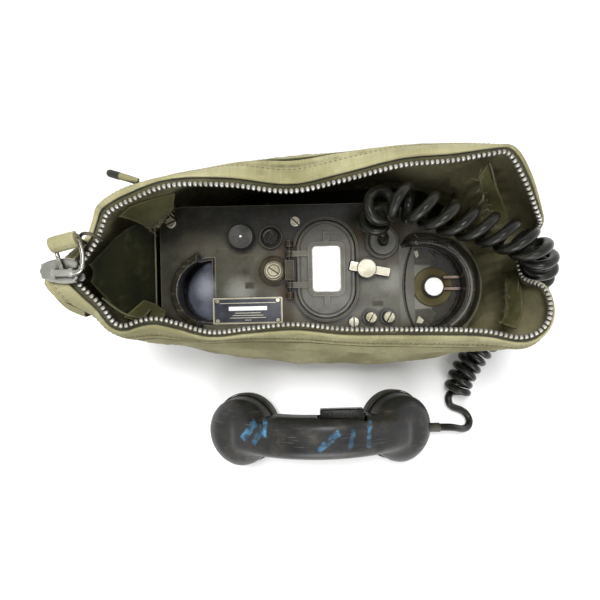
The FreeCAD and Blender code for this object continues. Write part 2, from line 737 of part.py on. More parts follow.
def gearSolid(teeth, bore, turn):
    solid = gearFace(teeth).extrude(V(0, 0, gearWidth))
    solid.rotate(V(0, 0, 0), V(0, 0, 1), turn)
    return solid.cut(cylinder(bore, 0, 0, -1, gearWidth + 1))


def layAlongY(shape, x, y, z):
    """Turns a shape made along Z so that it lies along Y, its Z=0 end at y."""
    shape.rotate(V(0, 0, 0), V(1, 0, 0), -90)
    shape.translate(V(x, y, z))
    return shape


def makeGenerator():
    centres = gearModule * (gearTeeth + pinionTeeth) / 2 + 0.06
    rotorX = crankX - centres
    gearY = halfWidth - caseWall - generatorClear - gearWidth
    gear = layAlongY(gearSolid(gearTeeth, crankShaftRadius, 0), crankX, gearY, crankZ)
    keep("drive_gear", gear)
    # the pinion's gap faces the gear's tooth
    pinion = layAlongY(gearSolid(pinionTeeth, rotorShaftRadius, 0), rotorX, gearY, crankZ)
    pinion.rotate(V(rotorX, 0, crankZ), V(0, 1, 0), 180.0 / pinionTeeth)
    keep("rotor_pinion", pinion)
    frontY = gearY - 3.0 - generatorPlate
    backY = frontY - rotorLength - generatorClear - generatorPlate
    low = innerFloor + generatorClear
    x0, x1 = rotorX - 18, crankX + generatorHalf - generatorClear
    plates = [box(x0, x1, y, y + generatorPlate, low, crankZ + 17) for y in (backY, frontY)]
    tie = box(x0, x1, backY, frontY + generatorPlate, low - generatorClear, low)
    frame = tie.fuse(plates)
    rotorBore = barAlongY(rotorShaftRadius + runningGap, rotorX, crankZ, backY - 1, frontY + 9)
    crankBore = barAlongY(crankShaftRadius + runningGap, crankX, crankZ, backY - 1, frontY + 9)
    keep("generator_frame", frame.cut([rotorBore, crankBore]).removeSplitter())
    coreY = backY + generatorPlate + 2
    core = barAlongY(rotorRadius, rotorX, crankZ, coreY, coreY + rotorLength)
    for side in (-1, 1):
        groove = box(rotorX - rotorRadius * 0.55, rotorX + rotorRadius * 0.55, coreY - 1, coreY + rotorLength + 1,
                     crankZ + side * rotorRadius - 4, crankZ + side * rotorRadius + 4)
        core = core.cut(groove)
    shaft = barAlongY(rotorShaftRadius, rotorX, crankZ, backY - 2, gearY + gearWidth + 1)
    keep("rotor", core.fuse(shaft).removeSplitter())
    magnets = []
    for side in (-1, 1):
        x = rotorX + side * (rotorRadius + magnetGap + magnetThick / 2)
        magnets.append(box(x - magnetThick / 2, x + magnetThick / 2, coreY, coreY + rotorLength, low, crankZ + 14))
    keep("generator_magnets", Part.makeCompound(magnets))
    armY = halfWidth + 2.5
    keep("crank_shaft", barAlongY(crankShaftRadius, crankX, crankZ, backY - 1, armY + crankArmThick))
    arm = roundedBoxY(crankX - crankArmWidth / 2, crankX + crankArmWidth / 2, armY, armY + crankArmThick,
                      crankZ - crankRadius - crankArmWidth / 2, crankZ + crankArmWidth / 2, 5.0)
    arm = arm.cut(barAlongY(crankShaftRadius, crankX, crankZ, armY - 1, armY + crankArmThick + 1))
    gripZ = crankZ - crankRadius
    stud = barAlongY(gripStudRadius, crankX, gripZ, armY + crankArmThick, armY + crankArmThick + crankGripLength + 1.2)
    keep("crank_arm", arm.fuse(stud).removeSplitter())
    gripY = armY + crankArmThick + 0.4
    grip = barAlongY(crankGripRadius, crankX, gripZ, gripY, gripY + crankGripLength)
    grip = grip.makeFillet(1.6, [e for e in grip.Edges if e.Length > 20 and e.Curve.TypeId == "Part::GeomCircle"])
    keep("crank_grip", grip.cut(barAlongY(gripStudRadius + runningGap, crankX, gripZ,
                                         gripY - 1, gripY + crankGripLength + 1)))


def roundedBoxY(x0, x1, y0, y1, z0, z1, radius):
    """A box with its edges along Y rounded."""
    solid = box(x0, x1, y0, y1, z0, z1)
    along = [e for e in solid.Edges if abs(e.tangentAt(e.FirstParameter).y) > 0.9]
    return solid.makeFillet(radius, along)


def makeInnerParts():
    buzzer = cylinder(buzzerRadius, buzzerX, buzzerY, innerFloor, innerFloor + buzzerHeight)
    keep("buzzer", softenTop(buzzer, 2.0, innerFloor + buzzerHeight))
    core = blockAt(coilX, coilY, coilCoreHalf, innerFloor, innerFloor + coilHeight)
    bobbin = blockAt(coilX, coilY, bobbinHalf, innerFloor + bobbinInset, innerFloor + coilHeight - bobbinInset)
    keep("induction_coil", core.fuse(bobbin).removeSplitter())


# ---------------------------------------------------------------- handset
def tilted(shape, side):
    """Sets a shape made about Z, its face at z=0, at one end of the handset."""
    shape.rotate(V(0, 0, 0), V(0, 1, 0), side * capTilt)
    lift = capRadius * math.sin(math.radians(capTilt))
    shape.translate(V(side * cupSpread, handsetY, lift + 0.2))
    return shape


def makeHandset():
    halfChord = handleHalf
    arcRadius = (halfChord ** 2 + handleDrop ** 2) / (2 * handleDrop)
    midZ = handleTopZ - handleThick / 2
    centreZ = midZ - arcRadius
    angle = math.degrees(math.asin(halfChord / arcRadius))
    section = roundedSection(handleWidth, handleThick, 9.0)
    section.translate(V(0, handsetY, midZ))
    section.rotate(V(0, handsetY, centreZ), V(0, 1, 0), -angle)
    handle = section.revolve(V(0, handsetY, centreZ), V(0, 1, 0), 2 * angle)
    shell = handle
    for side in (-1, 1):
        shell = shell.fuse(tilted(cupBack(0), side))
    for side in (-1, 1):
        shell = shell.cut(tilted(cupBack(cupWall), side))
    barZ = midZ - 1.0
    faceY = handsetY + handleWidth / 2
    halfLength, halfHeight = talkBarLength / 2 + talkGap, talkBarHeight / 2 + talkGap
    pocket = box(talkBarX - halfLength, talkBarX + halfLength, faceY - talkPocket, faceY + 9,
                 barZ - halfHeight, barZ + halfHeight)
    end = sleeveEnd()
    sleeveBore = Part.makeCylinder(sleeveRadius - 1, 30, V(end.x - 32.5, end.y, end.z), V(1, 0, 0))
    shell = shell.cut([pocket, sleeveBore])
    keep("handset_shell", shell.removeSplitter())
    bar = roundedBoxY(talkBarX - talkBarLength / 2, talkBarX + talkBarLength / 2, faceY - talkBarSunk, faceY + talkBarOut,
                      barZ - talkBarHeight / 2, barZ + talkBarHeight / 2, 2.0)
    keep("talk_bar", bar)
    switch = box(talkBarX - 10, talkBarX + 10, faceY - talkPocket, faceY - talkBarSunk - talkTravel - talkGap,
                 barZ - 4, barZ + 4)
    keep("talk_switch", switch)
    for name, side in (("receiver", -1), ("transmitter", 1)):
        keep(name + "_cap", tilted(capSolid(), side))
        capsule = cylinder(capRadius - capsuleInset, 0, 0, capsuleRise, capsuleRise + capsuleDepth)
        keep(name + "_capsule", tilted(capsule, side))
    sleeve = Part.makeCylinder(sleeveRadius, sleeveLength, V(sleeveEnd().x - sleeveLength, sleeveEnd().y, sleeveEnd().z),
                               V(1, 0, 0))
    keep("cord_sleeve", sleeve.cut(pieces["handset_shell"]))


def sleeveEnd():
    return V(cupSpread + capRadius + sleeveOut, handsetY - sleeveFromMiddle, sleeveZ)


def roundedSection(width, height, radius):
    """A rounded rectangle face in the YZ plane, centred on the origin."""
    w, h, r = width / 2, height / 2, radius
    k = r * (1 - math.sqrt(0.5))
    edges = [
        Part.makeLine(V(0, -w + r, -h), V(0, w - r, -h)),
        Part.Arc(V(0, w - r, -h), V(0, w - k, -h + k), V(0, w, -h + r)).toShape(),
        Part.makeLine(V(0, w, -h + r), V(0, w, h - r)),
        Part.Arc(V(0, w, h - r), V(0, w - k, h - k), V(0, w - r, h)).toShape(),
        Part.makeLine(V(0, w - r, h), V(0, -w + r, h)),
        Part.Arc(V(0, -w + r, h), V(0, -w + k, h - k), V(0, -w, h - r)).toShape(),
        Part.makeLine(V(0, -w, h - r), V(0, -w, -h + r)),
        Part.Arc(V(0, -w, -h + r), V(0, -w + k, -h + k), V(0, -w + r, -h)).toShape(),
    ]
    return Part.Face(Part.Wire(edges))


def cupBack(inset):
    """The round back of one end of the handset, about Z, from the cap upwards."""
    r = capRadius - 1.0 - inset
    low = capThick if inset == 0 else capThick - 1
    side = capThick + cupDepth - cupDome
    top = capThick + cupDepth - inset
    points = [V(0, 0, low), V(r, 0, low), V(r, 0, side)]
    shoulder = V(r * 0.8, 0, side + (top - side) * 0.72)
    edges = [Part.makeLine(points[0], points[1]), Part.makeLine(points[1], points[2]),
             Part.Arc(points[2], shoulder, V(r * 0.45, 0, top)).toShape(),
             Part.makeLine(V(r * 0.45, 0, top), V(0, 0, top)), Part.makeLine(V(0, 0, top), points[0])]
    return Part.Face(Part.Wire(edges)).revolve(V(0, 0, 0), V(0, 0, 1), 360)


def capSolid():
    """A screwed cap with its ring of small sound holes."""
    body = cylinder(capRadius, 0, 0, 0, capThick)
    body = softenTop(body, 3.0, 0)
    body = body.cut(cylinder(capRadius - 4, 0, 0, 3.0, capThick + 1))
    holes = [cylinder(1.6, 0, 0, -1, 4)]
    for ring, count in ((7.0, 6), (14.0, 12)):
        for i in range(count):
            a = 2 * math.pi * i / count
            holes.append(cylinder(1.6, ring * math.cos(a), ring * math.sin(a), -1, 4))
    return body.cut(holes)


# ---------------------------------------------------------------- cord
coilRoute = [
    (glandX, glandY, panelTop + glandHeight + 0.3),
    (glandX, glandY, 119.0),
    (42.0, 29.5, 131.0),
    (40.5, 38.5, 143.0),
    (49.5, 41.0, 153.5),
    (63.5, 36.0, 155.5),
    (76.0, 32.5, 151.0),
    (90.0, 29.5, 146.5),
    (106.5, 25.0, 143.5),
    (124.0, 19.0, 143.0),
    (141.0, 13.0, 140.5),
    (157.0, 3.5, 126.5),
    (167.5, -8.0, 102.0),
    (171.5, -22.5, 75.0),
    (172.0, -40.0, 50.0),
    (170.0, -56.0, 30.0),
    (162.5, -72.0, 17.0),
    (152.5, -86.5, 13.8),
    (144.5, -100.0, 13.4),
    (139.5, -111.0, 13.4),
    (138.5, -121.0, 13.4),
]
leadRoute = [
    (130.0, -120.45, 10.4),
    (129.6, -125.5, 10.4),
    (133.5, -131.5, 8.0),
    (141.0, -134.6, 6.2),
    (149.0, -136.6, 6.0),
    (155.5, -141.0, 7.0),
    (157.8, -148.2, 9.0),
    (153.5, -153.5, 12.5),
    (144.0, -153.5, 17.5),
    (134.0, -150.0, 23.5),
    (125.5, sleeveEnd().y, sleeveEnd().z),
    (sleeveEnd().x + 0.02, sleeveEnd().y, sleeveEnd().z),
]


def routeWire(points, label):
    """Straight runs joined by tangent arcs, each as large as its two runs allow."""
    knots = [V(*p) for p in points]
    edges, last, radii = [], knots[0], []
    for before, here, after in zip(knots, knots[1:], knots[2:]):
        a, b = (before - here), (after - here)
        reach = arcShare * min(a.Length, b.Length)
        a.normalize()
        b.normalize()
        turn = math.pi - a.getAngle(b)
        radii.append(round(reach / math.tan(turn / 2), 1))
        start, end = here + a * reach, here + b * reach
        bisector = (a + b)
        bisector.normalize()
        depth = radii[-1] * (1 / math.cos(turn / 2) - 1)
        edges.append(Part.LineSegment(last, start).toShape())
        edges.append(Part.Arc(start, here + bisector * depth, end).toShape())
        last = end
    edges.append(Part.LineSegment(last, knots[-1]).toShape())
    print(label, "bend radii", radii, "length", round(sum(e.Length for e in edges), 1))
    return Part.Wire(edges)


def tube(points, radius, label):
    wire = routeWire(points, label)
    start = V(*points[0])
    direction = V(*points[1]) - start
    ring = Part.Wire(Part.makeCircle(radius, start, direction))
    solid = wire.makePipeShell([ring], True, False)
    print(label, "volume share", round(solid.Volume / (math.pi * radius ** 2 * wire.Length), 4))
    return solid


def makeCord():
    keep("cord_coil", tube(coilRoute, coilDiameter / 2, "coil"))
    keep("cord_lead", tube(leadRoute, wireDiameter / 2, "lead"))


# ---------------------------------------------------------------- bag
# Each station round the bag: rim point, belly point, base point. The rim is where the zip chain sits.
backStations = [
    ((caseLeft - 4, caseBack - 11, 158), (caseLeft - 6, caseBack + 11, 92), (caseLeft - 5, caseBack + 7)),
    ((caseLeft + 27, caseBack - 3, 161),
     (caseLeft + 27, caseBack + 31, 86), (caseLeft + 27, caseBack + 25)),
    ((-60, caseBack - 3, 164), (-60, caseBack + 39, 82), (-60, caseBack + 33)),
    ((-22, caseBack - 7, 165), (-22, caseBack + 42, 80), (-22, caseBack + 35)),
    ((10, caseBack - 4, 164), (12, caseBack + 43, 82), (12, caseBack + 35)),
    ((48, caseBack + 6, 163), (52, caseBack + 44, 84), (52, caseBack + 37)),
    ((caseRight - 37, caseBack + 11, 160),
     (caseRight - 33, caseBack + 44, 86), (caseRight - 35, caseBack + 36)),
    ((caseRight - 15, caseBack + 14, 160),
     (caseRight - 1, caseBack + 37, 88), (caseRight - 5, caseBack + 29)),
]
rightStations = [
    ((caseRight - 15, caseBack + 14, 160),
     (caseRight - 1, caseBack + 37, 88), (caseRight - 5, caseBack + 29)),
    ((caseRight + 0, caseBack + 2, 157),
     (caseRight + 18, caseBack + 13, 84), (caseRight + 11, caseBack + 9)),
    ((caseRight + 13, 37, 151), (caseRight + 24, caseBack - 13, 76), (caseRight + 18, caseBack - 15)),
    ((caseRight + 20, 29, 140), (caseRight + 25, 30, 70), (caseRight + 19, 30)),
    ((caseRight + 11, 20, 120), (caseRight + 26, 18, 66), (caseRight + 20, 18)),
    ((caseRight + 7, 4, 116), (caseRight + 25, 4, 60), (caseRight + 20, 3)),
    ((caseRight + 12, -10, 119), (caseRight + 25, -11, 58), (caseRight + 20, -12)),
    ((caseRight + 23, -20, 138), (caseRight + 25, -22, 58), (caseRight + 20, -24)),
    ((caseRight + 24, -32, 145), (caseRight + 23, caseFront + 17, 58), (caseRight + 18, caseFront + 15)),
    ((caseRight + 16, caseFront + 7, 146),
     (caseRight + 11, caseFront - 15, 60), (caseRight + 7, caseFront - 9)),
]
frontStations = [
    ((caseRight + 16, caseFront + 7, 146),
     (caseRight + 11, caseFront - 15, 60), (caseRight + 7, caseFront - 9)),
    ((caseRight - 23, caseFront + 7, 142),
     (caseRight - 27, caseFront - 28, 52), (caseRight - 29, caseFront - 19)),
    ((50, caseFront + 9, 140), (50, caseFront - 31, 50), (50, caseFront - 22)),
    ((3, caseFront + 12, 141), (3, caseFront - 29, 50), (3, caseFront - 21)),
    ((-45, caseFront + 13, 141), (-45, caseFront - 25, 52), (-45, caseFront - 18)),
    ((-86, caseFront + 13, 141), (-86, caseFront - 18, 56), (-86, caseFront - 14)),
    ((caseLeft + 9, caseFront + 20, 145),
     (caseLeft + 9, caseFront - 9, 66), (caseLeft + 11, caseFront - 7)),
    ((caseLeft - 9, caseFront + 19, 148),
     (caseLeft - 11, caseFront + 7, 80), (caseLeft - 7, caseFront + 3)),
]
leftStations = [
    ((caseLeft - 9, caseFront + 19, 148),
     (caseLeft - 11, caseFront + 7, 80), (caseLeft - 7, caseFront + 3)),
    ((caseLeft - 22, -20, 155), (caseLeft - 18, -26, 84), (caseLeft - 13, -28)),
    ((caseLeft - 28.5, -10, 158.5), (caseLeft - 19, -13, 86), (caseLeft - 14, -13)),
    ((caseLeft - 33, -2, 163), (caseLeft - 19, 0, 88), (caseLeft - 14, 2)),
    ((caseLeft - 29, 7, 158.5), (caseLeft - 19, 13, 89), (caseLeft - 14, 15)),
    ((caseLeft - 24, 15, 158), (caseLeft - 18, 26, 90), (caseLeft - 13, 30)),
    ((caseLeft - 17, 33, 157), (caseLeft - 15, caseBack - 9, 92), (caseLeft - 11, caseBack - 7)),
    ((caseLeft - 4, caseBack - 11, 158), (caseLeft - 6, caseBack + 11, 92), (caseLeft - 5, caseBack + 7)),
]


def acrossOf(stations, i):
    """Unit vector across the wall in plan at one station, pointing into the bag."""
    a, b = stations[max(i - 1, 0)][1], stations[min(i + 1, len(stations) - 1)][1]
    along = V(b[0] - a[0], b[1] - a[1], 0)
    along.normalize()
    return V(along.y, -along.x, 0)


def wallPoints(station, across, offset):
    """The wall's curve at a station, base to rim, in the upright plane of `across`."""
    rim, belly, base = (V(*p) for p in (station[0], station[1], station[2] + (canvas,)))
    foot, lean = (base - belly).dot(across), (rim - belly).dot(across)
    stages = (
        (foot, canvas),
        (foot * 0.25, canvas + (belly.z - canvas) * 0.42),
        (0.0, belly.z),
        (lean * 0.42, belly.z + (rim.z - belly.z) * 0.55),
        (lean, rim.z),
    )
    return [V(belly.x, belly.y, z) + across * (s + offset) for s, z in stages]


def splineThrough(points):
    curve = Part.BSplineCurve()
    curve.interpolate(points)
    return curve.toShape()


def wallSection(station, across):
    outer = wallPoints(station, across, 0)
    inner = wallPoints(station, across, canvas)
    return Part.Wire([splineThrough(outer), Part.makeLine(outer[-1], inner[-1]),
                      splineThrough(inner), Part.makeLine(inner[0], outer[0])])


def bagWalls():
    """Each wall's stations with their directions; a corner's direction is the mean of its two walls'."""
    ring = [backStations, rightStations, frontStations, leftStations]
    corners = {}
    for here, after in zip(ring, ring[1:] + ring[:1]):
        joint = acrossOf(here, len(here) - 1) + acrossOf(after, 0)
        joint.normalize()
        corners[here[-1]] = joint
    return [[(s, corners.get(s) or acrossOf(wall, i)) for i, s in enumerate(wall)] for wall in ring]


def makeBag():
    walls = bagWalls()
    for name, wall in zip(("back", "right", "front", "left"), walls):
        sections = [wallSection(*s) for s in wall]
        keep("bag_" + name + "_wall", Part.makeLoft(sections, True, True))
    base = [wallPoints(s, across, 0)[0] for wall in walls for s, across in wall[:-1]]
    outline = Part.makePolygon([V(p.x, p.y, 0) for p in base + base[:1]])
    keep("bag_floor", Part.Face(outline).extrude(V(0, 0, canvas)))


def chainRun(stations):
    """A square bead on the rim of one or more walls."""
    sections = []
    for station, across in stations:
        rim = wallPoints(station, across, 0)[-1]
        a = rim + across * (canvas / 2 - chainSize / 2)
        b = rim + across * (canvas / 2 + chainSize / 2)
        up = V(0, 0, chainSize)
        sections.append(Part.makePolygon([a, b, b + up, a + up, a]))
    return Part.makeLoft(sections, True, True)


def rimOf(station, across):
    return wallPoints(station, across, 0)[-1]


def makeZip():
    back, right, front, left = bagWalls()
    chains = [chainRun(left[3:] + back[1:] + right[1:4]), chainRun(right[7:] + front[1:] + left[1:4])]
    keep("zip_chain_back", chains[0])
    keep("zip_chain_front", chains[1])
    tip = rimOf(*left[3])
    x, y, z = tip.x, tip.y, tip.z
    body = roundedBox(x - sliderLength + sliderNose, x + sliderNose, y - sliderWidth / 2, y + sliderWidth / 2,
                      z, z + sliderHeight, sliderRound)
    axisZ = z + sliderHeight + sliderBarrel - 1
    barrel = Part.makeCylinder(sliderBarrel, sliderLength - 10, V(x - sliderLength + 12, y, axisZ), V(1, 0, 0))
    slider = body.fuse(barrel).removeSplitter()
    bore = Part.makeCylinder(pullWire + runningGap, 3 * sliderLength, V(x - 2 * sliderLength, y, axisZ), V(1, 0, 0))
    keep("zip_slider", slider.cut(bore).cut(chains))
    x0, x1 = x - sliderLength + 9.5, x + 4.5
    corner = 3.0
    points = [V(x0, y, axisZ), V(x1, y, axisZ), V(x1, y + pullLength, axisZ), V(x0, y + pullLength, axisZ)]
    keep("zip_pull", roundRing(points, corner, pullWire))
    # a rolled tab of webbing on the pull's far side
    rollX = (x0 + x1 - rollLength) / 2
    roll = Part.makeCylinder(rollRadius, rollLength, V(rollX, y + pullLength, axisZ), V(1, 0, 0))
    roll = roll.makeFillet(2.0, [e for e in roll.Edges if e.Length > 20 and e.Closed])
    keep("webbing_loop", roll.cut(pieces["zip_pull"]))
    end = rimOf(*back[0])
    strap = Part.makeCylinder(strapRadius, strapLength, end + V(*strapOffset), V(-1, 0.35, 0.1))
    keep("strap_end", strap)


def roundRing(points, corner, radius):
    """A closed wire ring through four corners, each rounded."""
    edges, count = [], len(points)
    for i in range(count):
        before, here, after = points[i - 1], points[i], points[(i + 1) % count]
        into, out = before - here, after - here
        into.normalize()
        out.normalize()
        start, end = here + into * corner, here + out * corner
        bisector = into + out
        bisector.normalize()
        middle = here + bisector * (corner * (math.sqrt(2) - 1))
        nextInto = here - after
        nextInto.normalize()
        edges.append(Part.Arc(start, middle, end).toShape())
        edges.append(Part.makeLine(end, after + nextInto * corner))
    wire = Part.Wire(edges)
    begin = edges[1]
    at = begin.Vertexes[0].Point
    ring = Part.Wire(Part.makeCircle(radius, at, begin.tangentAt(begin.FirstParameter)))
    return Part.Wire(edges[1:] + edges[:1]).makePipeShell([ring], True, False)


makeCase()
makeLeftCradle()
makeRightCradle()
makePanel()
makeBatteryCover()
makeLatch()
makeBattery()
makeControls()
makePosts()
makeGland()
makeHookSwitch()
makeGenerator()
makeInnerParts()
makeHandset()
makeCord()
makeBag()
makeZip()

for name, shape in sorted(pieces.items()):
    shape.exportStep("parts/" + name + ".step")
    if not shape.isValid() or shape.Volume <= 0:
        print("CHECK", name, shape.isValid(), shape.Volume)
print(len(pieces), "nodes")
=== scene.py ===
# Field telephone in its canvas bag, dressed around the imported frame. Everything is in metres.
import json
import math

import bpy
from mathutils import Matrix, Vector, noise


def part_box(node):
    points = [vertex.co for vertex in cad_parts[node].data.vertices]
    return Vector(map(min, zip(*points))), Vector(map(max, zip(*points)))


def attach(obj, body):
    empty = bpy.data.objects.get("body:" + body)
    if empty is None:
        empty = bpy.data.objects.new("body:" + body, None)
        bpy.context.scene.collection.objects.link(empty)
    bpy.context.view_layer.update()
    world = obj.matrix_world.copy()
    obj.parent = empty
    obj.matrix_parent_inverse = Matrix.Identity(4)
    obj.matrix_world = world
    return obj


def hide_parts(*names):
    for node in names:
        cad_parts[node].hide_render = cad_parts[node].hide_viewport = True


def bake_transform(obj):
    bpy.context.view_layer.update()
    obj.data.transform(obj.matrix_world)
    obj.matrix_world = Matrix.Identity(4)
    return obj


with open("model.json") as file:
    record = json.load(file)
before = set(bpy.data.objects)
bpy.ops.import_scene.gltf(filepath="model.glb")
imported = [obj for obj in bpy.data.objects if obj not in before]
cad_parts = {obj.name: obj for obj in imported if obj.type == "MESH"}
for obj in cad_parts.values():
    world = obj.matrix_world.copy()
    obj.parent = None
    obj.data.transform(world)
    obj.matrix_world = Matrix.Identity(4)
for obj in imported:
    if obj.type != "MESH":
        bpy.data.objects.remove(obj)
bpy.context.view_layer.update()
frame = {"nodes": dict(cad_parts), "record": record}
mm = 0.001
fullTurn = 2 * math.pi
upwards = Vector((0, 0, 1))

# without a seed of its own, the noise that bends the loose threads would differ in every run
noise.seed_set(7)


# Mesh helpers

def mmPoints(rows):
    return [Vector(row) * mm for row in rows]


def smoothstep(value):
    value = min(1.0, max(0.0, value))
    return value * value * (3 - 2 * value)


def addPiece(name, vertices, faces, uvs=None, smooth=True):
    mesh = bpy.data.meshes.new(name)
    mesh.from_pydata([tuple(v) for v in vertices], [], faces)
    if uvs:
        layer = mesh.uv_layers.new(name="cut")
        for loop in mesh.loops:
            layer.data[loop.index].uv = uvs[loop.vertex_index]
    mesh.polygons.foreach_set("use_smooth", [smooth] * len(mesh.polygons))
    piece = bpy.data.objects.new(name, mesh)
    bpy.context.scene.collection.objects.link(piece)
    return piece


def gridFaces(rows, columns, closed=False, looped=False):
    # closed joins the last column to the first, looped the last row to the first
    faces = []
    for row in range(rows if looped else rows - 1):
        here = row * columns
        below = (row + 1) % rows * columns
        for column in range(columns if closed else columns - 1):
            after = (column + 1) % columns
            faces.append((here + column, here + after, below + after, below + column))
    return faces


def solidFaces(rows, columns, flip=False):
    # a closed grid with one face over each end, where flip turns those two faces round
    ends = [tuple(range(columns)), tuple(range((rows - 1) * columns, rows * columns))]
    ends[1 if flip else 0] = ends[1 if flip else 0][::-1]
    return gridFaces(rows, columns, closed=True) + ends


def roundSection(radius, sides):
    return [(radius * math.cos(fullTurn * n / sides), radius * math.sin(fullTurn * n / sides))
            for n in range(sides)]


def sweepRings(points, section):
    # carries a closed section (pairs across, up) along the points without twisting it
    firstUp = Vector((0.13, 0.21, 0.97))
    last = len(points) - 1
    vertices = []
    for index, point in enumerate(points):
        along = (points[min(last, index + 1)] - points[max(0, index - 1)]).normalized()
        side = (side - along * side.dot(along) if index else along.cross(firstUp)).normalized()
        rise = side.cross(along)
        pairs = section(index / last) if callable(section) else section
        vertices += [point + side * across + rise * height for across, height in pairs]
    return vertices, solidFaces(len(points), len(vertices) // len(points))


def closedSweep(points, radius, sides=8):
    # a round wire along a closed line
    vertices = []
    for n, point in enumerate(points):
        along = (points[(n + 1) % len(points)] - points[n - 1]).normalized()
        side = along.cross(upwards).normalized()
        rise = side.cross(along)
        vertices += [point + side * a + rise * b for a, b in roundSection(radius, sides)]
    return vertices, gridFaces(len(points), sides, closed=True, looped=True)


def addSweep(name, points, radius, sides):
    section = roundSection(radius, sides) if not callable(radius) else \
        lambda share: roundSection(radius(share), sides)
    return addPiece(name, *sweepRings(points, section))


def addMany(name, parts):
    # joins several (vertices, faces) lists into one piece
    vertices = []
    faces = []
    for partVertices, partFaces in parts:
        faces += [tuple(len(vertices) + n for n in face) for face in partFaces]
        vertices += partVertices
    return addPiece(name, vertices, faces)


def turned(profile, centre, steps, radiusAt=None):
    # a closed turned form: profile is (radius, height) in mm from the top's centre downwards
    across = upwards.orthogonal().normalized()
    depth = upwards.cross(across)
    vertices = []
    for radius, height in profile:
        for step in range(steps):
            angle = fullTurn * step / steps
            reach = radiusAt(radius * mm, angle) if radiusAt else radius * mm
            way = across * math.cos(angle) + depth * math.sin(angle)
            vertices.append(centre + way * reach + upwards * (height * mm))
    return vertices, solidFaces(len(profile), steps, flip=True)


def splinePoints(controls, steps, closed=False):
    # points on a smooth line that passes through every control
    count = len(controls)
    points = []
    for spot in range(count if closed else count - 1):
        near = [spot + n for n in (-1, 0, 1, 2)]
        a, b, c, d = [controls[n % count if closed else min(max(n, 0), count - 1)] for n in near]
        for step in range(steps):
            t = step / steps
            points.append((b * 2 + (c - a) * t + (a * 2 - b * 5 + c * 4 - d) * t * t
                           + (b * 3 - a - c * 3 + d) * t ** 3) / 2)
    return points if closed else points + [controls[-1].copy()]


def runLengths(line):
    # how far each point lies along the line
    lengths = [0.0]
    for a, b in zip(line, line[1:]):
        lengths.append(lengths[-1] + (b - a).length)
    return lengths


def evenSteps(lengths, pieces, last=0):
    # for steps of one size along a line: the stretch that each falls in, and its share of that stretch
    spot = 0
    for n in range(pieces + last):
        goal = lengths[-1] * n / pieces
        while spot < len(lengths) - 2 and lengths[spot + 1] < goal:
            spot += 1
        stretch = lengths[spot + 1] - lengths[spot]
        yield spot, (goal - lengths[spot]) / stretch if stretch else 0


def evenly(points, gap=None, count=None, closed=False):
    # points an equal way apart along a line of points
    line = list(points) + ([points[0]] if closed else [])
    lengths = runLengths(line)
    pieces = count or max(2, round(lengths[-1] / gap))
    steps = evenSteps(lengths, pieces, last=0 if closed else 1)
    return [line[spot].lerp(line[spot + 1], share) for spot, share in steps]


def modify(piece, kind, **settings):
    modifier = piece.modifiers.new(kind.lower(), kind)
    for name, value in settings.items():
        setattr(modifier, name, value)
    return modifier


def applyAll(piece):
    view = bpy.context.evaluated_depsgraph_get()
    mesh = bpy.data.meshes.new_from_object(piece.evaluated_get(view))
    piece.modifiers.clear()
    piece.data = mesh


def bevelled(piece, width, segments=2, **settings):
    modify(piece, "BEVEL", width=width, segments=segments, **settings)
    applyAll(piece)
    return piece


def dress(piece, body, materials, slot, *standsFor):
    # materials are the names of finishes or cloths, with a space between two
    piece.data.materials.clear()
    for name in materials.split():
        piece.data.materials.append(bpy.data.materials[name])
    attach(piece, body)
    if standsFor:
        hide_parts(*standsFor)
    return piece


# Camera, straight above the bag

cameraPlace = {"x": -17.0 * mm, "y": -21.2 * mm, "height": 410.0 * mm, "rollDegrees": -1.3, "lens": 23.64,
               "sensor": 36, "clip": 0.02}

camera = bpy.data.objects.new("camera", bpy.data.cameras.new("camera"))
bpy.context.scene.collection.objects.link(camera)
camera.data.lens = cameraPlace["lens"]
camera.data.sensor_width = cameraPlace["sensor"]
camera.data.clip_start = cameraPlace["clip"]
camera.location = (cameraPlace["x"], cameraPlace["y"], cameraPlace["height"])
camera.rotation_euler = (0, 0, math.radians(cameraPlace["rollDegrees"]))
bpy.context.scene.camera = camera
bpy.context.scene.view_settings.view_transform = "Standard"
print("camera set")


# Node helpers

def tone(red, green, blue):
    # a colour as a screen shows it, 0 to 255, to the linear colour that a shader takes
    def linear(channel):
        share = channel / 255
        return share / 12.92 if share <= 0.04045 else ((share + 0.055) / 1.055) ** 2.4
    return (linear(red), linear(green), linear(blue), 1)


def connect(tree, made, values):
    for socket, value in values.items():
        if isinstance(value, bpy.types.NodeSocket):
            tree.links.new(value, made.inputs[socket])
        else:
            made.inputs[socket].default_value = value
    return made


def put(tree, kind, values=None, **settings):
    made = tree.nodes.new("ShaderNode" + kind)
    for name, value in settings.items():
        setattr(made, name, value)
    return connect(tree, made, values or {})


def calc(tree, operation, *values, clamp=False):
    return put(tree, "Math", dict(enumerate(values)), operation=operation, use_clamp=clamp).outputs[0]


def times(tree, first, second, clamp=False):
    return calc(tree, "MULTIPLY", first, second, clamp=clamp)


def sway(tree, value, amount, middle=0.5):
    # a value from 0 to 1 turned into one that swings about 0
    return times(tree, calc(tree, "SUBTRACT", value, middle), amount)


def vectorCalc(tree, operation, first, second=None, output="Vector"):
    values = {0: first} if second is None else {0: first, 1: second}
    return put(tree, "VectorMath", values, operation=operation).outputs[output]


def mixColour(tree, share, first, second, kind="MIX"):
    values = {0: share, 6: first, 7: second}
    return put(tree, "Mix", values, data_type="RGBA", blend_type=kind).outputs[2]


def mixValue(tree, share, first, second):
    return put(tree, "Mix", {0: share, 2: first, 3: second}).outputs[0]


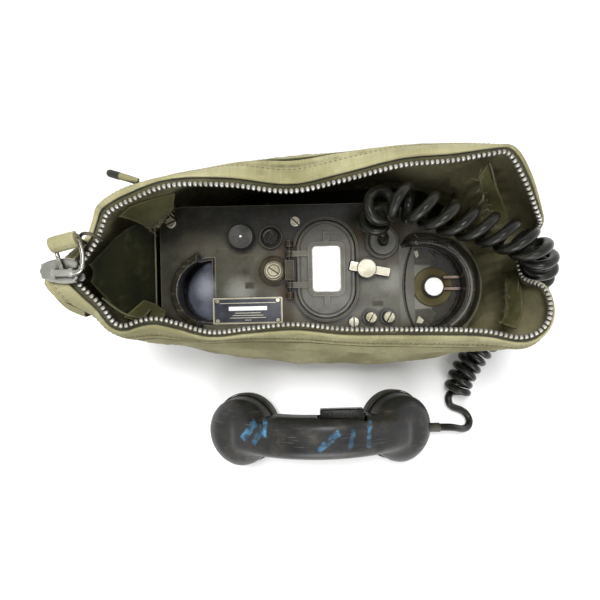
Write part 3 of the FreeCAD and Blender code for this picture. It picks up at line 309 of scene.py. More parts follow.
def span(tree, value, low, high, toLow=0.0, toHigh=1.0):
    values = {0: value, 1: low, 2: high, 3: toLow, 4: toHigh}
    return put(tree, "MapRange", values, interpolation_type="SMOOTHSTEP").outputs[0]


def cloud(tree, where, scale, detail=3.0, rough=0.55):
    values = {"Vector": where, "Scale": scale, "Detail": detail, "Roughness": rough}
    return put(tree, "TexNoise", values).outputs["Fac"]


def patches(tree, where, scale, low, high, detail=3.0, rough=0.55):
    # 1 where a cloud is over high, 0 where it is under low
    return span(tree, cloud(tree, where, scale, detail, rough), low, high)


def parted(tree, vector):
    return put(tree, "SeparateXYZ", {0: vector}).outputs


def facing(tree):
    return put(tree, "NewGeometry").outputs["Normal"]


def place(tree):
    return put(tree, "TexCoord").outputs["Object"]


def newGroup(name, outputs, **inputs):
    # an input whose value is None is a vector, every other socket is a number
    tree = bpy.data.node_groups.new(name, "ShaderNodeTree")
    for label, value in inputs.items():
        kind = "NodeSocketVector" if value is None else "NodeSocketFloat"
        socket = tree.interface.new_socket(name=label, in_out="INPUT", socket_type=kind)
        if value is not None:
            socket.default_value = value
    for label in outputs:
        tree.interface.new_socket(name=label, in_out="OUTPUT", socket_type="NodeSocketFloat")
    return tree, tree.nodes.new("NodeGroupInput").outputs, tree.nodes.new("NodeGroupOutput")


def useGroup(tree, group, **values):
    made = tree.nodes.new("ShaderNodeGroup")
    made.node_tree = group
    return connect(tree, made, values).outputs


def newMaterial(name):
    material = bpy.data.materials.new(name)
    material.use_nodes = True
    tree = material.node_tree
    return tree, tree.nodes["Principled BSDF"], place(tree)


def bumpFrom(tree, height, distance, strength=1.0):
    return put(tree, "Bump", {"Height": height, "Distance": distance, "Strength": strength}).outputs[0]


# Shared effects

def makeEdgeWear():
    # bright where an outside edge has been rubbed, broken up by noise
    tree, given, out = newGroup("edgeWear", ["Mask"], Vector=None, Width=0.0007, Amount=0.5, Breakup=260.0)
    rounded = put(tree, "Bevel", {"Radius": given["Width"]}, samples=6).outputs[0]
    turn = calc(tree, "SUBTRACT", 1.0, vectorCalc(tree, "DOT_PRODUCT", rounded, facing(tree), "Value"))
    patch = cloud(tree, given["Vector"], given["Breakup"], detail=5.0, rough=0.65)
    raised = calc(tree, "ADD", times(tree, turn, 9.0), sway(tree, patch, 1.7))
    rubbed = times(tree, span(tree, raised, 0.35, 0.75), span(tree, turn, 0.004, 0.03))
    connect(tree, out, {"Mask": times(tree, rubbed, given["Amount"], clamp=True)})
    return tree


def makeDust():
    # a pale film on what faces up
    tree, given, out = newGroup("dustFilm", ["Mask"], Vector=None, Amount=0.3, Scale=90.0)
    upward = span(tree, parted(tree, facing(tree))["Z"], 0.1, 0.9)
    soft = patches(tree, given["Vector"], given["Scale"], 0.38, 0.72, detail=6.0, rough=0.7)
    fine = patches(tree, given["Vector"], 1900.0, 0.55, 0.7, detail=2.0)
    film = times(tree, upward, calc(tree, "ADD", soft, times(tree, fine, 0.35)))
    connect(tree, out, {"Mask": times(tree, times(tree, film, 0.6), given["Amount"], clamp=True)})
    return tree


def makeDirtAndShade():
    # painted shade in corners, creases and round whatever stands on a surface, from ambient occlusion,
    # together with the old oil and dirt that stay there
    tree, given, out = newGroup("cornerDirtAndShade", ["Mask"], Vector=None, Amount=0.8, Reach=0.005, Scale=240.0)
    shut = put(tree, "AmbientOcclusion", {"Distance": given["Reach"]}, samples=8).outputs["AO"]
    uneven = sway(tree, cloud(tree, given["Vector"], given["Scale"], detail=4.0, rough=0.6), 0.5)
    mask = span(tree, calc(tree, "ADD", shut, uneven), 0.93, 0.55)
    connect(tree, out, {"Mask": times(tree, mask, given["Amount"], clamp=True)})
    return tree


def makeGrain():
    # cast, brushed or crackled paint: a height and a slow colour drift
    tree, given, out = newGroup("grain", ["Height", "Drift"], Vector=None, Fine=1500.0, Coarse=120.0,
                                Pits=0.3)
    fine = cloud(tree, given["Vector"], given["Fine"], detail=3.0, rough=0.6)
    drift = cloud(tree, given["Vector"], given["Coarse"], detail=4.0, rough=0.6)
    values = {"Vector": given["Vector"], "Scale": times(tree, given["Fine"], 0.35)}
    spots = put(tree, "TexVoronoi", values).outputs["Distance"]
    pits = times(tree, span(tree, spots, 0.25, 0.0), given["Pits"])
    height = calc(tree, "SUBTRACT", calc(tree, "ADD", fine, times(tree, drift, 0.6)), pits)
    connect(tree, out, {"Height": height, "Drift": drift})
    return tree


def makeScratches():
    # thin lines in two directions and a few chips
    tree, given, out = newGroup("scratches", ["Mask"], Vector=None, Scale=60.0, Amount=0.4)
    lines = []
    for turn, stretch in ((0.5, 34.0), (2.1, 26.0)):
        values = {"Vector": given["Vector"], "Rotation": (0, 0, turn), "Scale": (1.0, stretch, 1.0)}
        moved = put(tree, "Mapping", values).outputs[0]
        lines.append(patches(tree, moved, given["Scale"], 0.66, 0.71, detail=2.0, rough=0.5))
    chipScale = times(tree, given["Scale"], 5.0)
    chips = patches(tree, given["Vector"], chipScale, 0.68, 0.73, detail=5.0, rough=0.7)
    where = patches(tree, given["Vector"], 45.0, 0.42, 0.62, detail=2.0)
    both = calc(tree, "MAXIMUM", calc(tree, "MAXIMUM", *lines), chips)
    connect(tree, out, {"Mask": times(tree, times(tree, both, where), given["Amount"], clamp=True)})
    return tree


def makeWeave():
    # plain weave in cut coordinates, metres across and along the cloth
    tree, given, out = newGroup("weave", ["Height", "Shade"], Cut=None, Pitch=0.00075, Slub=0.35)
    parts = parted(tree, given["Cut"])
    waves = [calc(tree, "SINE", calc(tree, "DIVIDE", times(tree, parts[name], math.pi), given["Pitch"]))
             for name in ("X", "Y")]
    over = calc(tree, "GREATER_THAN", times(tree, *waves), 0.0)
    height = mixValue(tree, over, *[calc(tree, "ABSOLUTE", wave) for wave in waves])
    slubs = []
    for stretch in ((0.02, 1.0, 1.0), (1.0, 0.02, 1.0)):
        moved = put(tree, "Mapping", {"Vector": given["Cut"], "Scale": stretch}).outputs[0]
        slubs.append(calc(tree, "SUBTRACT", cloud(tree, moved, 1300.0, detail=2.0), 0.5))
    slub = times(tree, calc(tree, "ADD", *slubs), given["Slub"])
    shade = calc(tree, "ADD", sway(tree, height, 0.45, middle=0.6), times(tree, slub, 1.6))
    connect(tree, out, {"Height": calc(tree, "ADD", height, slub), "Shade": calc(tree, "ADD", shade, 1.0)})
    return tree


edgeWear = makeEdgeWear()
dustFilm = makeDust()
cornerDirtAndShade = makeDirtAndShade()
grain = makeGrain()
scratches = makeScratches()
weave = makeWeave()
print("shared effects built")


# Floor, world and lights

studio = {
    "floorSize": 9.0, "paper": 0.82, "floorGlow": 0.12, "glowFrom": 0.18, "glowFull": 0.6,
    "skyStrength": 0.24, "sideShine": 0.9, "topShine": 0.12, "shineFalls": (0.6, 0.92),
    "lamps": {
        "keyLamp": {"place": (-0.16, 0.36, 1.14), "target": (0, 0, 0.05), "size": 0.34, "watts": 15.5,
                    "glossy": False},
        "fillLamp": {"place": (0.1, -1.0, 0.75), "target": (0, 0, 0.05), "size": 0.7, "watts": 8.0},
        "sheenLamp": {"place": (0.12, -0.06, 1.2), "target": (0.02, -0.02, 0.1), "size": 0.3, "watts": 4.0,
                      "diffuse": False},
    },
}


def makeFloor():
    half = studio["floorSize"] / 2
    corners = [(x * half, y * half, 0) for x, y in ((-1, -1), (1, -1), (1, 1), (-1, 1))]
    floor = addPiece("floor", corners, [(0, 1, 2, 3)])
    material = bpy.data.materials.new("floor")
    material.use_nodes = True
    tree = material.node_tree
    tree.nodes.clear()
    rays = put(tree, "LightPath").outputs
    mirrored = calc(tree, "MAXIMUM", rays["Is Glossy Ray"], rays["Is Transmission Ray"])
    seen = calc(tree, "MAXIMUM", rays["Is Camera Ray"], mirrored)
    paper = put(tree, "BsdfDiffuse", {"Color": (*[studio["paper"]] * 3, 1)}).outputs[0]
    # the paper keeps the shadow near the object and is plain white farther out
    away = vectorCalc(tree, "LENGTH", place(tree), output="Value")
    lift = span(tree, away, studio["glowFrom"], studio["glowFull"], studio["floorGlow"], 1.0)
    glow = put(tree, "Emission", {"Strength": times(tree, seen, lift)}).outputs[0]
    put(tree, "OutputMaterial", {"Surface": put(tree, "AddShader", {0: paper, 1: glow}).outputs[0]})
    floor.data.materials.append(material)


def makeWorld():
    world = bpy.data.worlds.new("studio")
    world.use_nodes = True
    bpy.context.scene.world = world
    tree = world.node_tree
    tree.nodes.clear()
    rays = put(tree, "LightPath").outputs
    # what gloss mirrors: bright walls all round, a dark ceiling
    height = parted(tree, put(tree, "TexCoord").outputs["Generated"])["Z"]
    shine = span(tree, height, *studio["shineFalls"], studio["sideShine"], studio["topShine"])
    strength = mixValue(tree, rays["Is Glossy Ray"], studio["skyStrength"], shine)
    strength = mixValue(tree, rays["Is Camera Ray"], strength, 1.0)
    sky = put(tree, "Background", {"Color": (1, 1, 1, 1), "Strength": strength}).outputs[0]
    put(tree, "OutputWorld", {"Surface": sky})


def addLamp(name, place, target, size, watts, diffuse=True, glossy=True):
    lamp = bpy.data.objects.new(name, bpy.data.lights.new(name, "AREA"))
    lamp.data.shape = "SQUARE"
    lamp.data.size = size
    lamp.data.energy = watts
    lamp.location = place
    lamp.rotation_euler = (Vector(target) - Vector(place)).to_track_quat("-Z", "Y").to_euler()
    lamp.visible_diffuse = diffuse
    lamp.visible_glossy = glossy
    bpy.context.scene.collection.objects.link(lamp)


makeFloor()
makeWorld()
for lampName, lampLook in studio["lamps"].items():
    addLamp(lampName, **lampLook)
print("floor and lamps placed")


# Finishes. Colours are 0 to 255 as a screen shows them, lengths in metres

def boxMask(tree, where, low, high, soft):
    # 1 inside a box of space, with a soft border, corners in mm
    axes = parted(tree, where)
    mask = 1.0
    for n in range(3):
        enter = span(tree, axes[n], (low[n] - soft) * mm, (low[n] + soft) * mm)
        leave = span(tree, axes[n], (high[n] + soft) * mm, (high[n] - soft) * mm)
        mask = times(tree, times(tree, enter, leave), mask)
    return mask


def spotMask(tree, where, centre, inner, outer, rough):
    # 1 near a point and 0 outside a radius, with an uneven border, in mm
    off = sway(tree, cloud(tree, where, 190.0, detail=4.0, rough=0.65), rough * mm)
    reach = vectorCalc(tree, "DISTANCE", where, Vector(centre) * mm, "Value")
    return span(tree, calc(tree, "ADD", reach, off), outer * mm, inner * mm)


def wornSurface(name, look):
    # one painter for enamel, moulded plastic, rubber and bare metal: each finish gives its own values
    tree, shader, where = newMaterial(name)
    texture = useGroup(tree, grain, Vector=where, Fine=look["grainScale"], Coarse=look["driftScale"],
                       Pits=look["pits"])
    drift = span(tree, texture["Drift"], 0.35, 0.65)
    colour = mixColour(tree, drift, tone(*look["colour"]), tone(*look["second"]))
    stainFrom = look["stainFrom"]
    blotch = patches(tree, where, look["stainScale"], stainFrom, stainFrom + 0.12, detail=5.0, rough=0.62)
    colour = mixColour(tree, times(tree, blotch, look["stainAmount"]), colour, tone(*look["stain"]))
    rough = look["rough"]
    upward = span(tree, parted(tree, facing(tree))["Z"], 0.45, 0.75)
    for kind in ("zones", "floorZones"):
        for low, high, soft, amount, paint, roughness in look[kind]:
            zone = times(tree, boxMask(tree, where, low, high, soft), amount)
            if kind == "floorZones":
                zone = times(tree, zone, upward)
            colour = mixColour(tree, zone, colour, tone(*paint))
            rough = mixValue(tree, zone, rough, roughness)
    for *spot, amount, paint in look["spots"]:
        colour = mixColour(tree, times(tree, spotMask(tree, where, *spot), amount), colour, tone(*paint))
    worn = useGroup(tree, edgeWear, Vector=where, Width=look["wearWidth"],
                    Amount=look["wearAmount"])["Mask"]
    scratched = useGroup(tree, scratches, Vector=where, Scale=look["scratchScale"],
                         Amount=look["scratchAmount"])["Mask"]
    bare = calc(tree, "MAXIMUM", worn, scratched)
    dust = useGroup(tree, dustFilm, Vector=where, Amount=look["dustAmount"],
                    Scale=look["dustScale"])["Mask"]
    # painted shade, with dirt, in corners and round raised parts
    dirtAndShade = useGroup(tree, cornerDirtAndShade, Vector=where, Amount=look["grimeAndShadeAmount"],
                    Reach=look["grimeAndShadeReach"])["Mask"]
    for mask, layer in ((bare, "worn"), (dust, "dust"), (dirtAndShade, "grimeAndShade")):
        colour = mixColour(tree, mask, colour, tone(*look[layer]))
    rough = calc(tree, "ADD", rough, sway(tree, texture["Drift"], look["roughDrift"]))
    rough = mixValue(tree, bare, rough, look["wornRough"])
    metal = mixValue(tree, bare, look["metal"], look["wornMetal"])
    height = calc(tree, "SUBTRACT", texture["Height"], times(tree, bare, 1.2))
    connect(tree, shader, {
        "Base Color": colour, "Roughness": mixValue(tree, dust, rough, look["dustRough"]),
        "Metallic": times(tree, metal, calc(tree, "SUBTRACT", 1.0, dust)),
        "Normal": bumpFrom(tree, height, look["bump"]), "Specular IOR Level": look["specular"],
        "Coat Weight": look["coat"], "Coat Roughness": look["coatRough"]})
    return bpy.data.materials[name]


plainLook = {
    "colour": (70, 68, 52), "second": (58, 56, 42), "driftScale": 60.0, "grainScale": 1400.0, "pits": 0.3,
    "stain": (40, 30, 18), "stainScale": 45.0, "stainFrom": 0.6, "stainAmount": 0.5,
    "worn": (120, 116, 100), "wornRough": 0.4, "wornMetal": 0.3, "wearWidth": 0.0007, "wearAmount": 0.6,
    "scratchScale": 60.0, "scratchAmount": 0.3,
    "dust": (150, 145, 126), "dustAmount": 0.22, "dustScale": 90.0, "dustRough": 0.85,
    # the dark colour of painted shade, with dirt, in corners and round raised parts
    "grimeAndShade": (16, 14, 8), "grimeAndShadeAmount": 0.85, "grimeAndShadeReach": 0.004,
    "rough": 0.42, "roughDrift": 0.3, "metal": 0.0, "bump": 0.00006, "specular": 0.5, "coat": 0.0,
    "coatRough": 0.12,
    # a zone is (low corner, high corner, softness, amount, colour, roughness) and a spot is
    # (centre, inner, outer, unevenness, amount, colour), both in mm; floorZones paint only what faces up
    "zones": [], "floorZones": [], "spots": [],
}

looks = {
    "panelPaint": {"colour": (82, 81, 69), "second": (66, 64, 52), "grimeAndShadeReach": 0.007,
        "stain": (52, 38, 24), "stainFrom": 0.55, "stainAmount": 0.6, "worn": (138, 132, 112),
        "dust": (124, 120, 102), "dustAmount": 0.14, "rough": 0.34, "wearWidth": 0.0009, "specular": 0.34,
        # painted shade: the first zone is the back wall's shadow, nearly black, and the second the shade
        # over the upper left; the third makes the left end darker
        "grimeAndShadeAmount": 1.0, "zones": [((-130, 30, 90), (130, 60, 112), 9.0, 0.95, (9, 9, 5), 0.4),
        ((-130, -26, 90), (-44, 40, 112), 14.0, 0.5, (46, 44, 35), 0.36),
        ((-130, -60, 90), (-108, 60, 112), 8.0, 0.7, (26, 25, 18), 0.4),
        ((-34, -60, 90), (-22, 40, 112), 5.0, 0.5, (50, 38, 22), 0.5),
        ((-34, -25, 101.2), (-21.5, 29, 112), 1.0, 0.85, (30, 25, 15), 0.4)],
        "spots": [((-37, 2, 101), 13.0, 17.0, 5.0, 0.8, (52, 46, 24)),
        ((-27, 19, 101), 2.0, 11.0, 6.0, 0.8, (66, 44, 22)),
        ((-26, -14, 101), 2.0, 12.0, 6.0, 0.8, (66, 44, 22)),
        ((48, 23, 101), 12.0, 24.0, 6.0, 0.75, (60, 44, 24)),
        ((-26, -33, 101), 2.0, 9.0, 5.0, 0.6, (60, 46, 26)),
        ((27, 10, 101), 2.0, 12.0, 6.0, 0.6, (58, 46, 28)),
        # two pale spots of painted sheen on the middle of the panel
        ((56, -8, 101), 2.0, 16.0, 9.0, 0.4, (158, 158, 152)),
        ((-64, -14, 101), 2.0, 17.0, 9.0, 0.6, (150, 150, 142)),
        # dark rings of painted shade round the cover, the knob and the line switch
        ((3.6, 17.4, 101), 25.4, 29.0, 2.0, 0.8, (34, 31, 20)),
        ((3.6, 2.2, 101), 25.4, 28.6, 2.0, 0.8, (34, 31, 20)),
        ((3.6, -13, 101), 25.4, 29.0, 2.0, 0.8, (34, 31, 20)),
        ((-61.6, 28.8, 101), 11.6, 15.0, 2.0, 0.75, (24, 23, 16)),
        ((-38.8, 28.1, 101), 9.0, 12.5, 2.0, 0.85, (24, 22, 14))]},
    "casePaint": {"colour": (66, 66, 48), "second": (56, 56, 40), "rough": 0.5},
    "coverPaint": {"colour": (74, 73, 63), "second": (58, 56, 47), "worn": (150, 146, 128),
        "wearAmount": 0.8, "rough": 0.34, "stain": (56, 42, 26), "dustAmount": 0.14,
        "dust": (128, 124, 106), "scratchAmount": 0.4,
        # the first zone is painted shade from the back wall over the cover's back end
        "zones": [((-30, 22, 98), (30, 44, 112), 6.0, 0.45, (40, 38, 28), 0.34),
        ((-34, -25, 101), (-21.5, 29, 112), 1.0, 0.8, (34, 28, 17), 0.4)],
        "spots": [((-16, 20, 104), 2.0, 9.0, 5.0, 0.5, (60, 44, 26)),
        ((18, 14, 104), 2.0, 8.0, 5.0, 0.4, (60, 46, 28))]},
    "cradlePaint": {"colour": (32, 30, 19), "second": (20, 17, 9), "worn": (150, 148, 134),
        # the rubbed edges are wear and also a painted bright line of light along the crescent's rim
        "wearAmount": 0.55, "wearWidth": 0.0009, "rough": 0.22, "dustAmount": 0.08, "stain": (26, 18, 8),
        # the pocket's floor is painted a bluish sheen, and the two pale spots a painted highlight in its
        # middle
        "floorZones": [((-112, -46, 80), (-80, 22, 99.4), 1.0, 0.95, (66, 69, 80), 0.22)],
        "spots": [((-91, -10, 95), 2.0, 15.0, 6.0, 0.7, (150, 152, 162)),
        ((-92, -26, 95), 1.0, 9.0, 6.0, 0.4, (110, 114, 128))]},
    "cupPaint": {"colour": (40, 37, 27), "second": (28, 23, 13), "worn": (160, 160, 152), "wearAmount": 0.9,
        "wearWidth": 0.0016, "rough": 0.24, "dustAmount": 0.06, "scratchAmount": 0.12,
        "stain": (44, 26, 10), "stainFrom": 0.56, "dust": (150, 150, 138),
        "floorZones": [((60, -46, 88), (88, 22, 94), 3.0, 0.9, (118, 117, 106), 0.3)],
        "zones": [((93, -60, 88), (114, 40, 106), 3.0, 0.85, (27, 20, 9), 0.3)],
        "spots": [((84, 16, 94), 6.0, 13.0, 3.0, 0.8, (40, 38, 18)),
        ((84, -42, 94), 6.0, 13.0, 3.0, 0.8, (40, 40, 20))]},
    "bareSteel": {"colour": (196, 192, 176), "second": (160, 155, 138), "stain": (104, 88, 62),
        "stainScale": 160.0, "metal": 0.6, "worn": (232, 229, 214), "wornMetal": 1.0, "wornRough": 0.25,
        "rough": 0.34, "dust": (130, 116, 90), "bump": 0.00004},
    "oldBrass": {"colour": (196, 191, 168), "second": (152, 146, 122), "stain": (84, 66, 38),
        "stainScale": 220.0, "metal": 0.6, "worn": (220, 214, 190), "wornMetal": 1.0, "wornRough": 0.25,
        "rough": 0.38, "dust": (110, 98, 74), "dustAmount": 0.3},
    "blackRubber": {"colour": (44, 44, 38), "second": (32, 32, 27), "stain": (84, 82, 68),
        "stainScale": 70.0, "stainAmount": 0.35, "worn": (104, 102, 88), "wornMetal": 0.0, "wornRough": 0.6,
        "rough": 0.46, "dust": (140, 136, 116), "dustAmount": 0.3, "scratchAmount": 0.2,
        "wearWidth": 0.001},
    "glandRubber": {"colour": (104, 105, 97), "second": (88, 88, 80), "stain": (50, 42, 30),
        "worn": (140, 140, 130), "wornMetal": 0.0, "wornRough": 0.6, "rough": 0.5, "dust": (140, 138, 120),
        "dustAmount": 0.3},
    "cordRubber": {"specular": 0.36, "colour": (20, 20, 16), "second": (14, 14, 11), "stain": (56, 56, 47),
        "stainScale": 110.0, "stainFrom": 0.56, "stainAmount": 0.4, "worn": (78, 78, 66), "wornMetal": 0.0,
        "wornRough": 0.55, "rough": 0.3, "dust": (100, 99, 82), "dustAmount": 0.1, "scratchAmount": 0.22,
        "bump": 0.00005},
    "handsetPlastic": {"colour": (27, 28, 29), "second": (17, 17, 17), "stain": (62, 59, 53),
        "stainScale": 30.0, "stainFrom": 0.54, "stainAmount": 0.34, "worn": (122, 118, 106),
        "wornMetal": 0.0, "wornRough": 0.6, "wearWidth": 0.0014, "wearAmount": 0.7, "rough": 0.36,
        "dust": (124, 120, 108), "dustAmount": 0.2, "dustScale": 60.0, "scratchScale": 40.0,
        "scratchAmount": 0.35, "grainScale": 900.0, "bump": 0.00008},
    "capPlastic": {"colour": (32, 32, 31), "second": (20, 20, 19), "stain": (62, 60, 52),
        "stainScale": 50.0, "stainFrom": 0.5, "stainAmount": 0.45, "worn": (128, 124, 112),
        "wornMetal": 0.0, "wornRough": 0.6, "rough": 0.4, "dustAmount": 0.3, "wearWidth": 0.001},
    "knobPlastic": {"colour": (48, 48, 48), "second": (36, 36, 36), "stain": (50, 48, 44),
        "worn": (128, 126, 120), "wornMetal": 0.0, "wornRough": 0.5, "dustAmount": 0.3,
        "scratchScale": 120.0},
    "darkPlastic": {"colour": (28, 28, 27), "second": (20, 19, 17), "worn": (104, 98, 82), "wornMetal": 0.0,
        "rough": 0.36, "stain": (70, 58, 40), "stainAmount": 0.3},
    "whitePlastic": {"colour": (250, 250, 247), "second": (240, 240, 235), "stain": (206, 202, 188),
        "stainFrom": 0.66, "stainAmount": 0.4, "worn": (222, 218, 206), "wornMetal": 0.0, "wornRough": 0.5,
        "wearAmount": 0.25, "rough": 0.3, "dust": (190, 184, 166), "dustAmount": 0.12,
        "scratchAmount": 0.06, "bump": 0.00002},
    "innerBox": {"colour": (96, 82, 58), "second": (84, 72, 50), "rough": 0.6},
    "cellCase": {"colour": (52, 60, 78), "second": (44, 50, 66), "rough": 0.4, "stain": (140, 136, 124),
        "stainAmount": 0.25},
    "generatorSteel": {"colour": (122, 122, 118), "second": (98, 98, 94), "metal": 0.9, "wornMetal": 1.0,
        "rough": 0.4},
    "windingCopper": {"colour": (150, 86, 48), "second": (120, 66, 36), "metal": 0.6, "rough": 0.35},
    "capsuleMetal": {"colour": (150, 152, 150), "second": (128, 130, 128), "metal": 0.9, "wornMetal": 1.0,
        "rough": 0.35},
    "sliderPaint": {"colour": (152, 152, 145), "second": (126, 126, 119), "stain": (66, 66, 62),
        "stainScale": 180.0, "metal": 0.35, "worn": (206, 206, 200), "wornMetal": 0.9, "wornRough": 0.3,
        "wearAmount": 0.9, "wearWidth": 0.0008, "rough": 0.36},
    "pinkSteel": {"colour": (150, 128, 116), "second": (112, 90, 76), "metal": 0.6, "rough": 0.35,
        "worn": (206, 190, 180)},
    "sealRubber": {"colour": (92, 86, 52), "second": (74, 66, 36), "stain": (44, 34, 14), "rough": 0.5,
        "dustAmount": 0.1},
    "creamMetal": {"colour": (184, 180, 156), "second": (160, 155, 128), "stain": (96, 84, 56),
        "stainScale": 190.0, "metal": 0.3, "rough": 0.36, "worn": (236, 234, 220), "dustAmount": 0.1},
    "plateEnamel": {"colour": (40, 43, 54), "second": (30, 32, 40), "stain": (78, 80, 84),
        "stainScale": 120.0, "stainAmount": 0.4, "worn": (150, 148, 136), "rough": 0.3,
        "scratchAmount": 0.5, "dust": (128, 130, 134)},
    "labelPaint": {"colour": (50, 46, 32), "second": (40, 36, 24), "worn": (92, 88, 70), "rough": 0.5,
        "scratchAmount": 0.5, "dustAmount": 0.2, "wearWidth": 0.0012},
    "collarSteel": {"colour": (64, 59, 40), "second": (42, 37, 22), "stain": (40, 30, 14), "metal": 0.4,
        "rough": 0.4, "worn": (196, 190, 168), "wearWidth": 0.0008, "wearAmount": 0.9},
    "panelPatch": {"colour": (84, 83, 71), "second": (70, 68, 56), "stain": (60, 50, 38),
        "stainAmount": 0.4, "wearAmount": 0.0, "dust": (124, 120, 102), "dustAmount": 0.14, "rough": 0.33,
        "grimeAndShadeReach": 0.006, "worn": (138, 132, 112)},
    "rimPaint": {"colour": (36, 34, 28), "second": (26, 22, 14), "stain": (20, 14, 6),
        "worn": (128, 129, 126), "wearAmount": 0.4, "rough": 0.2, "dustAmount": 0.06,
        # the zone is a painted highlight along the top of the rim at the right
        "zones": [((98, -52, 107.2), (125, 26, 111), 1.2, 0.8, (112, 113, 108), 0.24)]},
    "switchBlack": {"colour": (20, 20, 19), "second": (13, 12, 11), "worn": (128, 124, 112),
        "wornMetal": 0.2, "wearAmount": 0.3, "scratchAmount": 0.05, "specular": 0.3, "rough": 0.26,
        "dustAmount": 0.03, "stainAmount": 0.1, "wearWidth": 0.0006},
    # dark olive for the recessed notches: their own paint and painted shade in the recess
    "notchPaint": {"colour": (44, 42, 22), "second": (32, 30, 14), "rough": 0.3, "worn": (120, 116, 92),
        "dustAmount": 0.1},
    "hingeBrown": {"colour": (46, 36, 22), "second": (32, 24, 14), "worn": (104, 90, 66), "rough": 0.45},
    "hoopWire": {"colour": (84, 80, 66), "second": (62, 58, 46), "metal": 0.6, "wornMetal": 0.8,
        "worn": (150, 144, 126), "rough": 0.4},
    "toothMetal": {"colour": (206, 205, 198), "second": (176, 173, 162), "stain": (86, 82, 66),
        "stainScale": 300.0, "stainFrom": 0.58, "metal": 0.75, "worn": (244, 243, 236), "wornMetal": 1.0,
        "wornRough": 0.22, "wearAmount": 0.9, "wearWidth": 0.0004, "rough": 0.32, "dustAmount": 0.12},
    "brightWire": {"colour": (196, 194, 184), "second": (164, 160, 146), "stain": (92, 84, 62),
        "stainScale": 240.0, "metal": 0.95, "worn": (246, 245, 238), "wornMetal": 1.0, "wornRough": 0.2,
        "rough": 0.26, "dustAmount": 0.1},
}

for finishName, finishLook in looks.items():
    wornSurface(finishName, {**plainLook, **finishLook})
print("finishes mixed:", len(looks))


# Every CAD node that stays in view takes a finish here

slotFinish = {
    "canvas": "casePaint", "webbing": "blackRubber", "zip_metal": "toothMetal", "grey_metal": "sliderPaint",
    "bright_wire": "brightWire", "olive_paint": "casePaint", "cup_paint": "cupPaint",
    "bare_steel": "bareSteel", "brass": "oldBrass", "black_rubber": "blackRubber",
    "cord_rubber": "cordRubber", "black_plastic": "handsetPlastic", "dark_plastic": "darkPlastic",
    "white_plastic": "whitePlastic", "plate_metal": "darkPlastic", "inner_box": "innerBox",
    "cell_case": "cellCase", "generator_steel": "generatorSteel", "coil_winding": "windingCopper",
    "capsule_metal": "capsuleMetal",
}
nodeFinish = {
    "front_panel": "panelPaint", "battery_cover": "coverPaint", "left_cradle": "cradlePaint",
    "cord_gland": "glandRubber", "volume_knob": "knobPlastic", "line_switch": "switchBlack",
    "hinge_pin": "hingeBrown", "cradle_bars": "pinkSteel", "hook_seal": "sealRubber",
    "name_plate": "creamMetal", "receiver_cap": "capPlastic", "transmitter_cap": "capPlastic",
}
for part in frame["record"]["subparts"]:
    node = frame["nodes"][part["node"]]
    finish = nodeFinish.get(part["node"], slotFinish[part["material_slot"]])
    node.data.materials.clear()
    node.data.materials.append(bpy.data.materials[finish])


# Curly cord: a helix wound round the route from the gland to the floor, then the lead into the handset

curlyCord = {
    "wire": 7.0 * mm, "coil": 26.0 * mm, "pointsPerTurn": 30, "sides": 14, "routeStep": 0.2 * mm,
    # (length along the route, pitch there), in mm
    "pitches": ((0, 30.0), (16, 22.0), (34, 13.0), (60, 14.5), (175, 14.5), (215, 12.5), (300, 11.0),
                (345, 9.6), (380, 9.6)),
    "unevenPitch": 0.1, "unevenRadius": 0.05, "swellFrom": 9 * mm, "swellReach": 30 * mm,
    "lean": 0.5, "leanFrom": 55 * mm, "leanRise": 40 * mm, "leanTo": 215 * mm, "leanFall": 50 * mm,
    "gap": 1.7 * mm, "leadGap": 1.6 * mm, "leadSkips": 3, "joinReach": 18 * mm, "joinPasses": 40,
    "hangsFrom": (0.170, -0.015, 0.088),
    "coilRoute": mmPoints([
        (48.1, 22.9, 107.3), (47.5, 23.5, 119), (38.5, 30, 130), (34.5, 39, 141), (43, 43, 152.5),
        (60, 38, 155.5), (76, 32.5, 151), (90, 29.5, 146.5), (106.5, 25, 143.5), (124, 19, 143),
        (141, 13, 140.5), (157, 3.5, 126.5), (167.5, -8, 102), (171.5, -22.5, 75), (172, -40, 50),
        (170, -56, 30), (162.5, -72, 17), (152.5, -86.5, 13.8), (144.5, -100, 13.4), (139.5, -111, 13.4),
        (138.5, -121, 13.4)]),
    "leadRoute": mmPoints([
        (130, -120.45, 10.4), (129.4, -125.5, 10.4), (132, -131.5, 8), (138, -134.8, 6.2), (145, -137, 6),
        (150.5, -141, 7), (153, -147.8, 9), (149.5, -153, 12.5), (142, -153.5, 17.5), (133.5, -150, 23.5),
        (125.5, -147.8, 27), (115.52, -147.8, 27)]),
}


def routeLine(controls):
    # the route's own smooth line, read from a NURBS spline with no bevel
    curve = bpy.data.curves.new("route", "CURVE")
    curve.dimensions = "3D"
    spline = curve.splines.new("NURBS")
    spline.points.add(len(controls) - 1)
    for point, place in zip(spline.points, controls):
        point.co = (*place, 1)
    spline.order_u = 3
    spline.use_endpoint_u = True
    spline.resolution_u = 24
    carrier = bpy.data.objects.new("route", curve)
    mesh = bpy.data.meshes.new_from_object(carrier)
    line = [vertex.co.copy() for vertex in mesh.vertices]
    bpy.data.objects.remove(carrier)
    bpy.data.meshes.remove(mesh)
    return line


def pitchAt(length):
    steps = curlyCord["pitches"]
    for (start, first), (end, last) in zip(steps, steps[1:]):
        if length / mm <= end:
            return (first + (last - first) * (length / mm - start) / (end - start)) * mm
    return steps[-1][1] * mm


